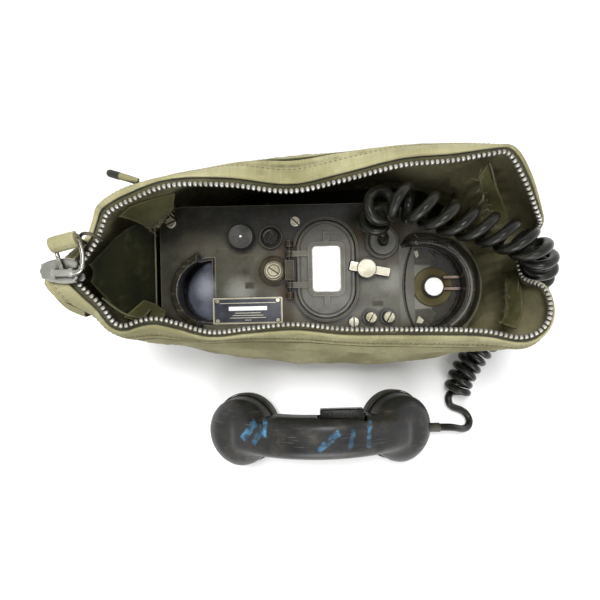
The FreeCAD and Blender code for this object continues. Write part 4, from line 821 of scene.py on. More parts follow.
def helixLine():
    cord = curlyCord
    step = cord["routeStep"]
    centres = evenly(routeLine(cord["coilRoute"]), gap=step)
    turns = [0.0]
    for n in range(1, len(centres)):
        uneven = 1 + cord["unevenPitch"] * noise.noise(Vector((n * step * 28, 3.1, 0.4)))
        turns.append(turns[-1] + step / (pitchAt(n * step) * uneven))
    sides = []
    side = Vector((1, 0, 0))
    for n in range(len(centres)):
        along = (centres[min(n + 1, len(centres) - 1)] - centres[max(n - 1, 0)]).normalized()
        side = (side - along * side.dot(along)).normalized()
        sides.append((side.copy(), side.cross(along)))
    # the last turn ends at the side where the lead begins
    goal = cord["leadRoute"][0] - centres[-1]
    endAngle = math.atan2(goal.dot(sides[-1][1]), goal.dot(sides[-1][0]))
    radius = (cord["coil"] - cord["wire"]) / 2
    wanted = 0.0
    line = []
    for n, centre in enumerate(centres):
        if turns[n] < wanted and n < len(centres) - 1:
            continue
        wanted += 1 / cord["pointsPerTurn"]
        side, rise = sides[n]
        swell = smoothstep((n * step - cord["swellFrom"]) / cord["swellReach"])
        uneven = 1 + cord["unevenRadius"] * noise.noise(Vector((n * step * 35, 8.7, 1.9)))
        reach = radius * swell * uneven
        angle = endAngle + fullTurn * (turns[n] - turns[-1])
        offset = side * math.cos(angle) * reach + rise * math.sin(angle) * reach
        # pulled sideways over the wall, the turns lean along the coil
        hold = smoothstep((n * step - cord["leanFrom"]) / cord["leanRise"])
        hold *= smoothstep((cord["leanTo"] - n * step) / cord["leanFall"])
        line.append(centre + offset - side.cross(rise) * offset.y * cord["lean"] * hold)
    return line


def makeCord():
    cord = curlyCord
    helix = helixLine()
    lead = evenly(routeLine(cord["leadRoute"]), gap=cord["leadGap"])
    line = evenly(helix + lead[cord["leadSkips"]:], gap=cord["gap"])
    joint = min(range(len(line)), key=lambda n: (line[n] - helix[-1]).length)
    reach = round(cord["joinReach"] / cord["gap"])
    # eased most at the join and less and less away from it, so that no kink is left at either end
    for _ in range(cord["joinPasses"]):
        for n in range(joint - reach, joint + reach):
            ease = 0.5 * smoothstep(1 - abs(n - joint) / reach)
            line[n] = line[n].lerp((line[n - 1] + line[n + 1]) / 2, ease)
    line = evenly(line, gap=cord["gap"])
    piece = addSweep("curly_cord", line, cord["wire"] / 2, cord["sides"])
    piece.data.materials.append(bpy.data.materials["cordRubber"])
    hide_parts("cord_coil", "cord_lead")
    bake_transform(piece)


makeCord()


# Canvas bag: one ring of cloth lofted from the base to the mouth

bag = {
    "columns": 440, "wallRows": 46, "cloth": 1.4 * mm, "wrinkle": 1.6 * mm, "fineWrinkle": 0.4 * mm,
    "hipShare": 0.32, "hipIn": 0.25, "waistShare": 0.45, "waistOut": 2.5, "crestShare": 0.42,
    "crestUp": 2.2 * mm, "lowUnder": 0.14, "lowFade": 0.07, "cornerFrom": 0.09, "cornerFade": 0.05,
    # the wall between its held rows may wrinkle a little, by no more than mostMove
    "settle": {"quality": 6, "mass": 0.25, "tension_stiffness": 18, "compression_stiffness": 14,
               "bending_stiffness": 0.8, "shrink_min": -0.03, "vertex_group_mass": "held"},
    "settleWeight": 0.5, "settleFrames": 16, "heldTop": (9, 6), "heldFoot": 5, "leastHeld": 0.03,
    "mostMove": 5 * mm, "baseSize": 0.985, "baseLevels": (0.1, 2.1),
    # each station is (rim), (shoulder), (belly), (base) in mm, going round from the back left corner
    "stations": [
        ((-138, 38, 158), (-146, 44, 150), (-139, 52, 92), (-136, 54, 0)),
        ((-123, 45, 160), (-128, 53, 153), (-122, 74, 90), (-118, 70, 0)),
        ((-97, 53, 162), (-101, 59, 154), (-95, 83, 86), (-95, 79, 0)),
        ((-60, 52, 164), (-61, 65, 156), (-60, 92, 82), (-60, 88, 0)),
        ((-22, 47, 165), (-22, 70, 156), (-22, 96, 80), (-22, 90, 0)),
        ((10, 53, 164), (10, 72, 155), (12, 97, 82), (12, 90, 0)),
        ((48, 62, 163), (50, 75, 155), (52, 97.5, 84), (52, 92, 0)),
        ((80, 65, 161), (84, 76, 154), (88, 97, 86), (86, 91, 0)),
        ((106, 69, 160), (113, 76, 151), (112, 95, 87), (110, 89, 0)),
        ((118, 69, 159), (126, 73, 149), (127, 89, 88), (122, 82, 0)),
        ((129, 54, 156), (137, 57, 145), (141, 75, 86), (136, 69, 0)),
        ((140, 35, 150), (146, 37, 137), (148, 54, 82), (143, 50, 0)),
        ((147, 27, 141), (151.5, 28, 127), (151, 38, 76), (145, 37, 0)),
        ((148, 19, 122), (152, 18, 109), (152.5, 22, 68), (147, 22, 0)),
        ((146.5, 4, 115.5), (151, 4, 104), (153, 4, 60), (147, 3, 0)),
        ((148, -9, 120), (152, -10, 108), (152.5, -10, 58), (147, -12, 0)),
        ((151.5, -17, 138), (154.5, -17, 126), (152, -24, 58), (147, -26, 0)),
        ((151, -32, 145), (156, -33, 131), (150, -40, 58), (145, -42, 0)),
        ((145, -44, 146), (151, -47, 132), (144, -58, 60), (140, -55, 0)),
        ((131, -50, 144), (140, -57, 130), (138, -70, 60), (134, -64, 0)),
        ((104, -45, 142), (110, -56, 128), (116, -78, 56), (112, -70, 0)),
        ((51, -43, 142), (53, -54, 127), (74, -85, 50), (72, -76, 0)),
        ((13, -42, 141), (15, -52, 126), (26, -85, 50), (26, -77, 0)),
        ((-21, -38, 141), (-21, -49, 126), (-16, -83, 51), (-16, -75, 0)),
        ((-52, -40, 141), (-54, -47, 126), (-52, -79, 52), (-52, -73, 0)),
        ((-78, -42, 141), (-81, -48, 126), (-78, -75, 55), (-78, -70, 0)),
        ((-99, -36, 142), (-104, -46, 127), (-100, -70, 58), (-99, -67, 0)),
        ((-114, -32, 143), (-119, -44, 129), (-116, -64, 64), (-113, -62, 0)),
        ((-125, -33, 144), (-130, -44, 130), (-126, -59, 70), (-122, -59, 0)),
        ((-135, -36, 147), (-140, -43, 133), (-134, -52, 75), (-130, -55, 0)),
        ((-141, -33, 149), (-148, -38, 137), (-139, -45, 80), (-135, -48, 0)),
        ((-147, -22, 153), (-155, -28, 142), (-143, -33, 84), (-139, -36, 0)),
        ((-154, -13, 157), (-166, -20, 149), (-145, -18, 86), (-140, -20, 0)),
        ((-158, -6, 162), (-176, -12, 154), (-146, -8, 87), (-141, -9, 0)),
        ((-158.5, -1, 163), (-178, -3, 155), (-146, 0, 88), (-141, 1, 0)),
        ((-152, 10, 160), (-165, 10, 153), (-146, 12, 89), (-141, 14, 0)),
        ((-146, 20, 158), (-154, 23, 149), (-145, 25, 90), (-140, 28, 0)),
        ((-142, 30, 158), (-150, 34, 149), (-143, 39, 91), (-139, 42, 0)),
    ],
}


def ringLines():
    # the rim, shoulder, belly and base as closed smooth lines, all cut at the columns of the rim
    lines = [splinePoints(mmPoints([station[row] for station in bag["stations"]]), 24, closed=True)
             for row in range(4)]
    steps = list(evenSteps(runLengths(lines[0] + lines[0][:1]), bag["columns"]))
    return [[line[spot].lerp(line[(spot + 1) % len(line)], share) for spot, share in steps]
            for line in lines]


def outwardAt(line, column):
    # the ring runs clockwise seen from above
    along = line[(column + 2) % len(line)] - line[(column - 2) % len(line)]
    return Vector((-along.y, along.x, 0)).normalized()


def wallProfile(rim, shoulder, belly, base):
    # from the rim down to the base, evenly spaced, with a hem that turns in under the case
    hip = base.lerp(belly, bag["hipShare"])
    hip += Vector((base.x - belly.x, base.y - belly.y, 0)) * -bag["hipIn"]
    waist = shoulder.lerp(belly, bag["waistShare"])
    out = Vector((shoulder.x + belly.x - rim.x - base.x, shoulder.y + belly.y - rim.y - base.y, 0))
    if out.length > 1 * mm:
        waist += out.normalized() * bag["waistOut"] * mm
    crest = rim.lerp(shoulder, bag["crestShare"]) + Vector((0, 0, bag["crestUp"]))
    line = splinePoints([rim, crest, shoulder, waist, belly, hip, base], 14)
    return evenly(line, count=bag["wallRows"] - 1)


def wrinkleAt(place, depth):
    # long folds that hang down the wall and short creases across it, stronger low down and at the corners
    x, y, z = place
    low = smoothstep((bag["lowUnder"] - z) / bag["lowFade"])
    corner = smoothstep((abs(x) - bag["cornerFrom"]) / bag["cornerFade"])
    hanging = noise.noise(Vector((x * 26, y * 26, z * 5)))
    slanted = noise.noise(Vector(((x + z * 0.7) * 34, y * 34, (z - x * 0.4) * 30)))
    crease = 1 - abs(noise.noise(Vector((x * 16 + 3, y * 16, z * 22)))) * 4
    fine = noise.noise(place * 130)
    return (bag["wrinkle"] * (0.35 + 0.9 * low + 0.7 * corner) * (hanging + 0.5 * slanted)
            + bag["wrinkle"] * 0.5 * (low + corner) * max(0.0, crease) + bag["fineWrinkle"] * fine) * depth


def makeWallGrid():
    rings = ringLines()
    columns = [wallProfile(*four) for four in zip(*rings)]
    rows = []
    for row in range(bag["wallRows"]):
        hold = smoothstep(row / bag["heldTop"][0])
        rows.append([column[row] + outwardAt(rings[2], c) * wrinkleAt(column[row], hold)
                     for c, column in enumerate(columns)])
    return rows


cloths = {
    # light, dark and worn colour, pitch of the weave in mm, and whether the cloth lies in the bag's shade,
    # where painted shade darkens it towards the bottom; the cloths inside are also given darker colours as
    # painted shade
    "canvasOutside": ((164, 158, 118), (122, 117, 78), (190, 184, 146), 0.85, False),
    "canvasInside": ((48, 50, 26), (26, 28, 12), (100, 98, 66), 0.85, True),
    "foldCloth": ((92, 90, 58), (58, 58, 32), (138, 134, 98), 0.85, True),
    "bandCloth": ((170, 165, 126), (130, 125, 86), (196, 190, 152), 0.85, False),
    "zipTape": ((92, 89, 56), (62, 61, 34), (132, 128, 92), 0.5, False),
    "seamCloth": ((98, 96, 66), (64, 64, 40), (134, 130, 98), 0.5, False),
    "seamThread": ((156, 150, 112), (126, 121, 84), (176, 170, 134), 0.3, False),
}
# the third to fifth values set painted shade, with dirt, in the cloth's creases, and the three after them
# painted shade inside the bag, darker towards the bottom
clothLook = {"rubWidth": 0.0022, "rubBreakup": 500.0, "dirtAndShade": 0.88, "dirtAndShadeReach": 0.0045, "dirtAndShadeScale": 120.0,
             "shadeFrom": 0.148, "shadeFull": 0.085, "shadeAmount": 0.72, "bump": 0.00022, "specular": 0.2,
             "sheen": 0.15, "sheenInside": 0.02, "sheenRough": 0.5}


def canvasMaterial(name, light, dark, worn, pitch, inside):
    look = clothLook
    tree, shader, where = newMaterial(name)
    cut = put(tree, "UVMap", uv_map="cut").outputs[0]
    woven = useGroup(tree, weave, Cut=cut, Pitch=pitch * mm)
    broad = patches(tree, where, 16.0, 0.34, 0.66, detail=5.0, rough=0.6)
    colour = mixColour(tree, broad, tone(*light), tone(*dark))
    blotch = patches(tree, where, 55.0, 0.52, 0.7, detail=5.0, rough=0.7)
    colour = mixColour(tree, times(tree, blotch, 0.35), colour, tone(*worn))
    spots = times(tree, patches(tree, where, 330.0, 0.66, 0.76, detail=3.0, rough=0.6), 0.3)
    colour = mixColour(tree, spots, colour, tone(*[channel * 0.55 for channel in dark]))
    rubbed = useGroup(tree, edgeWear, Vector=where, Width=look["rubWidth"], Amount=0.5,
                      Breakup=look["rubBreakup"])["Mask"]
    colour = mixColour(tree, rubbed, colour, tone(*worn))
    # painted shade, with dirt, darkens the cloth's creases and corners
    shut = useGroup(tree, cornerDirtAndShade, Vector=where, Amount=look["dirtAndShade"], Reach=look["dirtAndShadeReach"],
                    Scale=look["dirtAndShadeScale"])["Mask"]
    colour = mixColour(tree, shut, colour, tone(*[channel * 0.34 for channel in dark]))
    shade = put(tree, "CombineColor", {n: woven["Shade"] for n in range(3)}).outputs[0]
    colour = mixColour(tree, 0.9, colour, shade, "MULTIPLY")
    # inside the bag, painted shade darkens the cloth more and more towards the bottom
    if inside:
        deep = span(tree, parted(tree, where)["Z"], look["shadeFrom"], look["shadeFull"])
        colour = mixColour(tree, times(tree, deep, look["shadeAmount"]), colour, tone(14, 16, 6))
    fuzz = cloud(tree, where, 900.0, detail=3.0, rough=0.6)
    height = calc(tree, "ADD", woven["Height"], times(tree, fuzz, 0.8))
    connect(tree, shader, {
        "Base Color": colour, "Normal": bumpFrom(tree, height, look["bump"], strength=0.9),
        "Roughness": calc(tree, "SUBTRACT", 0.95, times(tree, fuzz, 0.15)),
        "Specular IOR Level": look["specular"], "Sheen Roughness": look["sheenRough"],
        "Sheen Weight": look["sheenInside"] if inside else look["sheen"]})


for clothName, clothColours in cloths.items():
    canvasMaterial(clothName, *clothColours)


def sheetFrom(name, rows, closed=True):
    # a grid of rows of points, with cut coordinates in metres from its own lengths
    wide = len(rows[0])
    across = runLengths(rows[0])
    down = runLengths([row[wide // 3] for row in rows])
    vertices = [point for row in rows for point in row]
    uvs = [(across[c], down[r]) for r in range(len(rows)) for c in range(wide)]
    return addPiece(name, vertices, gridFaces(len(rows), wide, closed=closed), uvs)


def rowAt(grid, goal):
    # the line of points on the wall a given length below the rim
    line = []
    for c in range(len(grid[0])):
        way = 0.0
        for r in range(len(grid) - 1):
            step = (grid[r + 1][c] - grid[r][c]).length
            if way + step >= goal or r == len(grid) - 2:
                line.append(grid[r][c].lerp(grid[r + 1][c], (goal - way) / step))
                break
            way += step
    return line


def liftedRow(grid, goal, height):
    # the same line moved off the wall along its outward normal
    above = rowAt(grid, max(0.0, goal - 1.5 * mm))
    below = rowAt(grid, goal + 1.5 * mm)
    here = rowAt(grid, goal)
    line = []
    for c, point in enumerate(here):
        normal = (here[(c + 1) % len(here)] - here[c - 1]).cross(below[c] - above[c]).normalized()
        line.append(point + normal * height)
    return line


def clothSettled(piece, pinned):
    # lets the wall wrinkle a little between its held rim and base, then keeps the moves small
    start = [vertex.co.copy() for vertex in piece.data.vertices]
    group = piece.vertex_groups.new(name="held")
    for index, weight in enumerate(pinned):
        if weight > 0:
            group.add([index], weight, "REPLACE")
    cloth = modify(piece, "CLOTH")
    for name, value in bag["settle"].items():
        setattr(cloth.settings, name, value)
    cloth.settings.effector_weights.gravity = bag["settleWeight"]
    cloth.collision_settings.use_collision = False
    cloth.point_cache.frame_start = 1
    cloth.point_cache.frame_end = bag["settleFrames"]
    for count in range(1, bag["settleFrames"] + 1):
        bpy.context.scene.frame_set(count)
    applyAll(piece)
    bpy.context.scene.frame_set(1)
    for vertex, before in zip(piece.data.vertices, start):
        move = vertex.co - before
        if move.length > bag["mostMove"]:
            vertex.co = before + move.normalized() * bag["mostMove"]


def makeBag():
    grid = makeWallGrid()
    wide = len(grid[0])
    wall = sheetFrom("bag_cloth", grid)
    top, fade = bag["heldTop"]
    free = [smoothstep((r - top) / fade) * smoothstep((len(grid) - 1 - r) / bag["heldFoot"])
            for r in range(len(grid))]
    clothSettled(wall, [1.0 - (1 - bag["leastHeld"]) * share for share in free for _ in range(wide)])
    points = [vertex.co.copy() for vertex in wall.data.vertices]
    grid = [points[r * wide:(r + 1) * wide] for r in range(len(grid))]
    modify(wall, "SOLIDIFY", thickness=bag["cloth"], offset=-1, material_offset=1, material_offset_rim=0)
    applyAll(wall)
    dress(wall, "root", "canvasOutside canvasInside", "canvas",
          "bag_back_wall", "bag_front_wall", "bag_left_wall", "bag_right_wall")
    return wall, grid


bagWall, bagGrid = makeBag()
print("bag lofted")


# Edge of the bag: the zip's tape, the folded band sewn over it, piping and stitches

edge = {
    # (length below the rim, height over the wall) across each strip, in mm
    "tape": [(-0.1, 0.0), (0.1, 0.7), (2.5, 0.8), (5.2, 0.75), (8.0, 0.5)],
    "band": [(3.9, 0.2), (3.3, 1.4), (3.4, 2.4), (4.3, 3.0), (6.0, 3.1), (7.8, 2.7), (10.4, 2.3),
             (12.6, 2.3), (14.0, 2.1), (14.9, 1.2), (15.6, 0.6), (16.4, 1.3), (17.6, 2.3), (18.9, 2.3),
             (19.8, 1.5), (19.7, -0.2)],
    "beadRadius": 0.95 * mm, "pipingAt": 21.6 * mm, "pipingLift": 0.5 * mm, "pipingRadius": 1.3 * mm,
    "stitchAt": 12.9 * mm, "stitchLift": 2.2 * mm, "stitchGap": 3.3 * mm, "stitchRadius": 0.27 * mm,
    # the steps from one stitch to the next, and how far each point of a thread bows up, in mm
    "stitchSteps": 6, "stitchRise": (0.0, 0.22, 0.28, 0.22, 0.0),
}


def makeEdgeStrip(name, profile, cloth):
    rows = [liftedRow(bagGrid, goal * mm, height * mm) for goal, height in profile]
    dress(sheetFrom(name, rows), "root", cloth, "canvas")


def makeStitches():
    # one row of separate raised threads round the band
    def section(share):
        return roundSection(edge["stitchRadius"] * (0.55 + 0.45 * math.sin(math.pi * share)), 6)
    steps = edge["stitchSteps"]
    line = liftedRow(bagGrid, edge["stitchAt"], edge["stitchLift"])
    dense = evenly(line, count=round(runLengths(line)[-1] / (edge["stitchGap"] / steps)), closed=True)
    parts = []
    for n in range(0, len(dense) - steps, steps):
        run = [point + Vector((0, 0, rise * mm)) for point, rise in zip(dense[n:], edge["stitchRise"])]
        parts.append(sweepRings(run, section))
    dress(addMany("band_stitches", parts), "root", "seamThread", "webbing")


makeEdgeStrip("zip_tape", edge["tape"], "zipTape")
makeEdgeStrip("mouth_band", edge["band"], "bandCloth")
tapeBead = addPiece("tape_bead", *closedSweep(rowAt(bagGrid, 0.0), edge["beadRadius"]))
dress(tapeBead, "root", "zipTape", "canvas")
pipingLine = liftedRow(bagGrid, edge["pipingAt"], edge["pipingLift"])
piping = addPiece("band_piping", *closedSweep(pipingLine, edge["pipingRadius"]))
dress(piping, "root", "seamCloth", "canvas")
makeStitches()
print("edge of the bag sewn")


# Folds and raw edges inside the bag

folds = {
    "thick": 0.9 * mm, "seamRadius": 0.6 * mm, "threads": 46, "threadRadius": 0.14 * mm,
    # name: (cloth, whether the last row is ragged, rows of the net in mm)
    "patches": {
        "left_end_fold": ("canvasInside", False, [
            [(-127.5, 44, 108), (-128.5, 24, 104), (-128.5, 0, 103), (-128.5, -22, 104),
             (-127.5, -38, 108)],
            [(-134, 38, 124), (-135, 21, 117), (-136, 0, 114), (-135, -19, 117), (-134, -34, 122)],
            [(-143, 24, 140), (-144, 13, 133), (-144.5, 0, 130), (-144.5, -11, 133), (-143, -25, 138)],
            [(-153, 5, 154), (-153.5, 2, 150), (-154, 0, 149), (-153.5, -3, 150), (-153, -6, 153)]]),
        "left_raw_flap": ("foldCloth", True, [
            [(-136, 37, 149), (-127, 43, 151), (-114, 48, 150), (-99, 52, 146)],
            [(-130, 36, 139), (-124, 39, 140), (-112, 44, 139), (-103, 49, 137)],
            [(-124, 33, 128), (-119, 34, 127), (-111, 40, 130), (-105, 46, 131)]]),
        "low_raw_flap": ("foldCloth", True, [
            [(-137, -30, 141), (-127, -34, 139), (-112, -36, 136)],
            [(-134, -24, 131), (-125, -28, 129), (-114, -32, 129)],
            [(-131, -19, 122), (-124, -22, 120), (-115, -28, 122)]]),
        "right_raw_flap": ("foldCloth", True, [
            [(109, 67, 151), (115, 62, 145), (122, 54, 136), (130, 46, 127), (139, 36, 118)],
            [(107, 63, 148), (112, 58, 141), (119, 50, 132), (126, 43, 123), (135, 33, 115)],
            [(105.5, 60, 144), (109.5, 54, 137), (116.5, 47, 128), (123, 40, 119), (131, 31, 111)]]),
        "right_seam_flap": ("foldCloth", True, [
            [(149, -1, 111), (150, -16, 113), (145.5, -33, 122), (136, -45, 130)],
            [(146, -2, 108), (146, -17, 109), (141.5, -33, 117), (133, -43.5, 125)],
            [(143, -3, 104), (142.5, -18, 105), (138, -32, 112), (130.5, -42, 120)]]),
        "corner_lump": ("canvasOutside", False, [
            [(-178, 2, 157), (-176, -9, 157), (-170, -19, 153), (-160, -25, 149)],
            [(-181, 1, 150), (-181, -11, 150), (-173, -23, 146), (-163, -29, 142)],
            [(-178, 0, 143), (-178, -11, 142), (-171, -22, 138), (-162, -28, 134)]]),
    },
    # name: (the patch whose last row the threads stand out of, how far)
    "frays": {"left_threads": ("left_raw_flap", 7 * mm), "right_threads": ("right_raw_flap", 7 * mm),
              "right_low_threads": ("right_seam_flap", 6 * mm)},
    "seams": {
        "left_end_seam": [(-126.5, 45, 113), (-127, 29, 108), (-127.3, 0, 106.5), (-127, -25, 108),
                          (-126.5, -36, 112)],
        "low_seam": [(-147, -17, 151), (-136, -27, 146), (-126, -31, 140), (-124, -26, 130)],
        "right_seam_upper": [(109, 66, 152), (116, 59, 143), (122, 53, 133), (129, 46, 125),
                             (139, 36, 117)],
        "right_seam_lower": [(148.5, -3, 112), (148, -18, 112), (142, -37, 117), (134, -44, 124)],
    },
}


def clothPatch(name, cloth, ragged, rows, steps=10):
    # a smooth patch through a net of points, with wrinkles
    wide = [splinePoints(mmPoints(row), steps) for row in rows]
    columns = [splinePoints(list(controls), steps) for controls in zip(*wide)]
    grid = [list(line) for line in zip(*columns)]
    for r, line in enumerate(grid):
        for c, point in enumerate(line):
            rough = noise.noise(point * 90) * 1.1 * mm + noise.noise(point * 300) * 0.35 * mm
            line[c] = point + Vector((0, 0, rough))
            if ragged and r == len(grid) - 1:
                line[c] += (grid[r][c] - grid[r - 1][c]) * noise.noise(point * 900) * 1.5
    patch = sheetFrom(name, grid, closed=False)
    modify(patch, "SOLIDIFY", thickness=folds["thick"], offset=0)
    applyAll(patch)
    dress(patch, "root", cloth, "canvas")


def frayedThreads(name, row, reach):
    # loose threads that stand out of a ragged edge
    parts = []
    for n, start in enumerate(evenly(splinePoints(mmPoints(row), 10), count=folds["threads"])):
        seed = Vector((n * 1.7, start.x * 300, start.y * 300))
        turn = noise.noise_vector(seed) * reach
        bend = noise.noise_vector(seed + Vector((5, 3, 1))) * reach
        middle = start + turn * 0.5 + Vector((0, 0, 0.3 * reach))
        run = splinePoints([start, middle, start + turn + bend * 0.6], 4)
        parts.append(sweepRings(run, roundSection(folds["threadRadius"], 5)))
    dress(addMany(name, parts), "root", "seamThread", "canvas")


def makeBase():
    # the bag's bottom, cut to the wall's foot and a little smaller
    foot = bagGrid[-1]
    middle = sum((point for point in foot), Vector()) / len(foot)
    size = bag["baseSize"]
    rings = []
    for height in bag["baseLevels"]:
        rings += [Vector((middle.x + (p.x - middle.x) * size, middle.y + (p.y - middle.y) * size,
                          height * mm)) for p in foot]
    base = addPiece("bag_base", rings, solidFaces(2, len(foot)), smooth=False)
    modify(base, "TRIANGULATE")
    applyAll(base)
    dress(base, "root", "canvasInside", "canvas", "bag_floor")


for patchName, patchLook in folds["patches"].items():
    clothPatch(patchName, *patchLook)
for frayName, (frayedPatch, frayReach) in folds["frays"].items():
    frayedThreads(frayName, folds["patches"][frayedPatch][2][-1], frayReach)
for seamName, seamRow in folds["seams"].items():
    seam = addSweep(seamName, splinePoints(mmPoints(seamRow), 12), folds["seamRadius"], 8)
    dress(seam, "root", "seamCloth", "canvas")
makeBase()
print("folds inside the bag laid")


# Zip: separate teeth round the mouth, slider, wire pull, rolled webbing and the strap's end

zipLook = {
    "pitch": 3.35 * mm, "chainWidth": 2.5 * mm, "toothOut": 0.4 * mm, "endGap": 5 * mm, "backFrom": 4 * mm,
    "toothLean": 0.1,
    # the slices of one tooth along the chain: (where, size), in mm
    "toothSlices": ((-1.25, 0.5), (-0.95, 0.86), (0, 1.0), (0.95, 0.86), (1.25, 0.5)),
    # outline of one tooth: (reach over the mouth, height), in mm
    "tooth": [(-1.5, 0.9), (-1.0, 1.4), (-0.2, 1.5), (0.5, 1.75), (1.2, 1.6), (1.7, 0.9), (1.8, -0.1),
              (1.5, -1.0), (0.9, -1.45), (0.3, -1.4), (-0.9, -1.35), (-1.5, -0.9)],
}
sliderLook = {
    # lines are in mm; the plates' outline is mirrored in y
    "plate": [(-176, 0.4), (-174.5, 4.2), (-167, 6.4), (-160, 7.0), (-154.5, 6.2), (-152.8, 4.4),
              (-153.4, 1.6), (-156.5, 0.0)],
    "plates": ((167.2, 169.4), (158.8, 160.8)), "soft": 0.8,
    "post": [(0.0, 168.0), (3.0, 168.0), (3.0, 160.0), (0.0, 160.0)], "postAt": -157.5 * mm,
    "lip": [(-175, 3.6, 167.6), (-168, 6.2, 167.2), (-160, 7.0, 167.2), (-154.6, 6.2, 167.2)],
    "lipWide": 0.8 * mm, "lipTall": 1.7 * mm,
    "eye": [(-166, -1.6, 168.6), (-165.4, -1.6, 171.0), (-160, -1.6, 171.9), (-154.7, -1.6, 171.0),
            (-154.1, -1.6, 168.6)],
    "eyeWide": 2.3 * mm, "eyeTall": (1.7, 0.5), "eyeLegs": (-165.2, -155.0), "legHalf": (1.1, 2.6),
    "legLevels": (168.8, 172.6), "legY": -1.6, "round": 0.25 * mm,
}
pullLook = {
    "level": 171.6, "wire": 1.25 * mm,
    # (x, y, how far over level), in mm
    "ring": [(-158, -1.0, 0), (-154, -1.4, 0), (-150.4, -0.8, 0), (-148.4, 2.0, 0), (-147.9, 7, 0),
             (-148.2, 12.5, 0.4), (-149.8, 17.0, 1.0), (-152.6, 18.4, 1.4), (-157, 17.2, 1.4),
             (-161.4, 15.0, 1.1), (-163.2, 12.0, 0.6), (-162.8, 8, 0.2), (-161.4, 3.4, 0),
             (-160.4, 0.4, 0)],
}
rollLook = {
    "centre": Vector((-157.6, 16.6, 172.8)) * mm, "axis": Vector((1, 0.24, 0)).normalized(),
    "width": 16.0 * mm, "radius": 5.4 * mm, "turns": 2.4, "ply": 1.5 * mm, "innerShare": 0.42,
    "startAngle": 0.6, "steps": 90, "slices": 12, "squeeze": 0.06, "uneven": 0.015,
}
strapLook = {"inset": 2.6 * mm, "braid": 2.35 * mm, "braidUneven": 0.05, "tip": 2.6 * mm,
             "tipNarrows": 0.35, "cutShare": 0.55}
hoopLook = {"wire": 1.1 * mm, "line": [(-152.5, 18, 158.5), (-153, 20, 165), (-149, 22.5, 168.5),
                                       (-144, 22, 166.5), (-141.5, 19.5, 160)]}


def makeTooth(place, along, inward, rise):
    vertices = []
    for step, size in zipLook["toothSlices"]:
        for reach, height in zipLook["tooth"]:
            vertices.append(place + along * step * mm + inward * reach * size * mm
                            + rise * height * size * mm)
    return vertices, solidFaces(len(zipLook["toothSlices"]), len(zipLook["tooth"]))


def makeTeeth():
    rim = rowAt(bagGrid, 0.0)
    below = rowAt(bagGrid, zipLook["chainWidth"])
    lengths = runLengths(rim + rim[:1])
    tip = min(rim, key=lambda point: point.x)
    chains = {"back": [], "front": []}
    for n, (spot, share) in enumerate(evenSteps(lengths, round(lengths[-1] / zipLook["pitch"]))):
        after = (spot + 1) % len(rim)
        place = rim[spot].lerp(rim[after], share)
        if (place - tip).length < zipLook["endGap"]:
            continue
        along = (rim[(spot + 3) % len(rim)] - rim[spot - 2]).normalized()
        inward = (place - below[spot].lerp(below[after], share)).normalized()
        inward = (inward - along * inward.dot(along)).normalized()
        lean = noise.noise(Vector((n * 2.3, 0, 0))) * zipLook["toothLean"]
        inward = Matrix.Rotation(lean, 3, along) @ inward
        rise = along.cross(inward)
        rise *= 1 if rise.z > 0 else -1
        tooth = makeTooth(place + inward * zipLook["toothOut"], along, inward, rise)
        chains["back" if place.y > zipLook["backFrom"] else "front"].append(tooth)
    for side, teeth in chains.items():
        dress(addMany("zip_teeth_" + side, teeth), "root", "toothMetal", "zip_metal", "zip_chain_" + side)


def middleOf(ring):
    return Vector((sum(x for x, _ in ring) / len(ring), sum(y for _, y in ring) / len(ring)))


def plateSolid(outline, low, high, soft):
    # an upright slab from half an outline, mirrored in y, with rounded upper and lower edges
    ring = [(x, y) for x, y in outline] + [(x, -y) for x, y in reversed(outline) if abs(y) > 0.01]
    middle = middleOf(ring)
    vertices = []
    levels = ((low, 0.9), (low + soft * 0.5, 0.985), (low + soft, 1.0), (high - soft, 1.0),
              (high - soft * 0.4, 0.975), (high, 0.9))
    for level, size in levels:
        for x, y in ring:
            spot = middle + (Vector((x, y)) - middle) * size
            vertices.append(Vector((spot.x, spot.y, level)) * mm)
    return vertices, solidFaces(len(levels), len(ring))


def boxSolid(x0, x1, y0, y1, z0, z1):
    # a plain box with its corners in mm
    corners = [Vector((x, y, z)) * mm
               for z in (z0, z1) for x, y in ((x0, y0), (x1, y0), (x1, y1), (x0, y1))]
    return corners, [(3, 2, 1, 0), (4, 5, 6, 7), (0, 1, 5, 4), (1, 2, 6, 5), (2, 3, 7, 6), (3, 0, 4, 7)]


def makeSlider():
    look = sliderLook
    parts = [plateSolid(look["plate"], *levels, look["soft"]) for levels in look["plates"]]
    parts.append(turned(look["post"], Vector((look["postAt"], 0, 0)), 20))
    # side lips that fold down over the teeth
    for side in (-1, 1):
        lip = splinePoints(mmPoints([(x, side * y, z) for x, y, z in look["lip"]]), 8)
        section = [(look["lipWide"] * a, look["lipTall"] * b) for a, b in roundSection(1.0, 10)]
        parts.append(sweepRings(lip, section))

    # the eye for the pull, a low arched tube on two legs
    def eyeSection(share):
        tall, arch = look["eyeTall"]
        return [(look["eyeWide"] * a, (tall + arch * math.sin(math.pi * share)) * mm * b)
                for a, b in roundSection(1.0, 16)]
    parts.append(sweepRings(splinePoints(mmPoints(look["eye"]), 8), eyeSection))
    wide, deep = look["legHalf"]
    for x in look["eyeLegs"]:
        sides = (x - wide, x + wide, look["legY"] - deep, look["legY"] + deep)
        parts.append(boxSolid(*sides, *look["legLevels"]))
    slider = bevelled(addMany("slider_body", parts), look["round"], limit_method="ANGLE", angle_limit=0.7)
    dress(slider, "root", "sliderPaint", "zip_metal", "zip_slider")


def makePull():
    ring = [(x, y, pullLook["level"] + over) for x, y, over in pullLook["ring"]]
    points = splinePoints(mmPoints(ring), 8, closed=True)
    wire = addPiece("pull_wire", *closedSweep(points, pullLook["wire"], 12))
    dress(wire, "zip_pull", "brightWire", "bright_wire", "zip_pull")


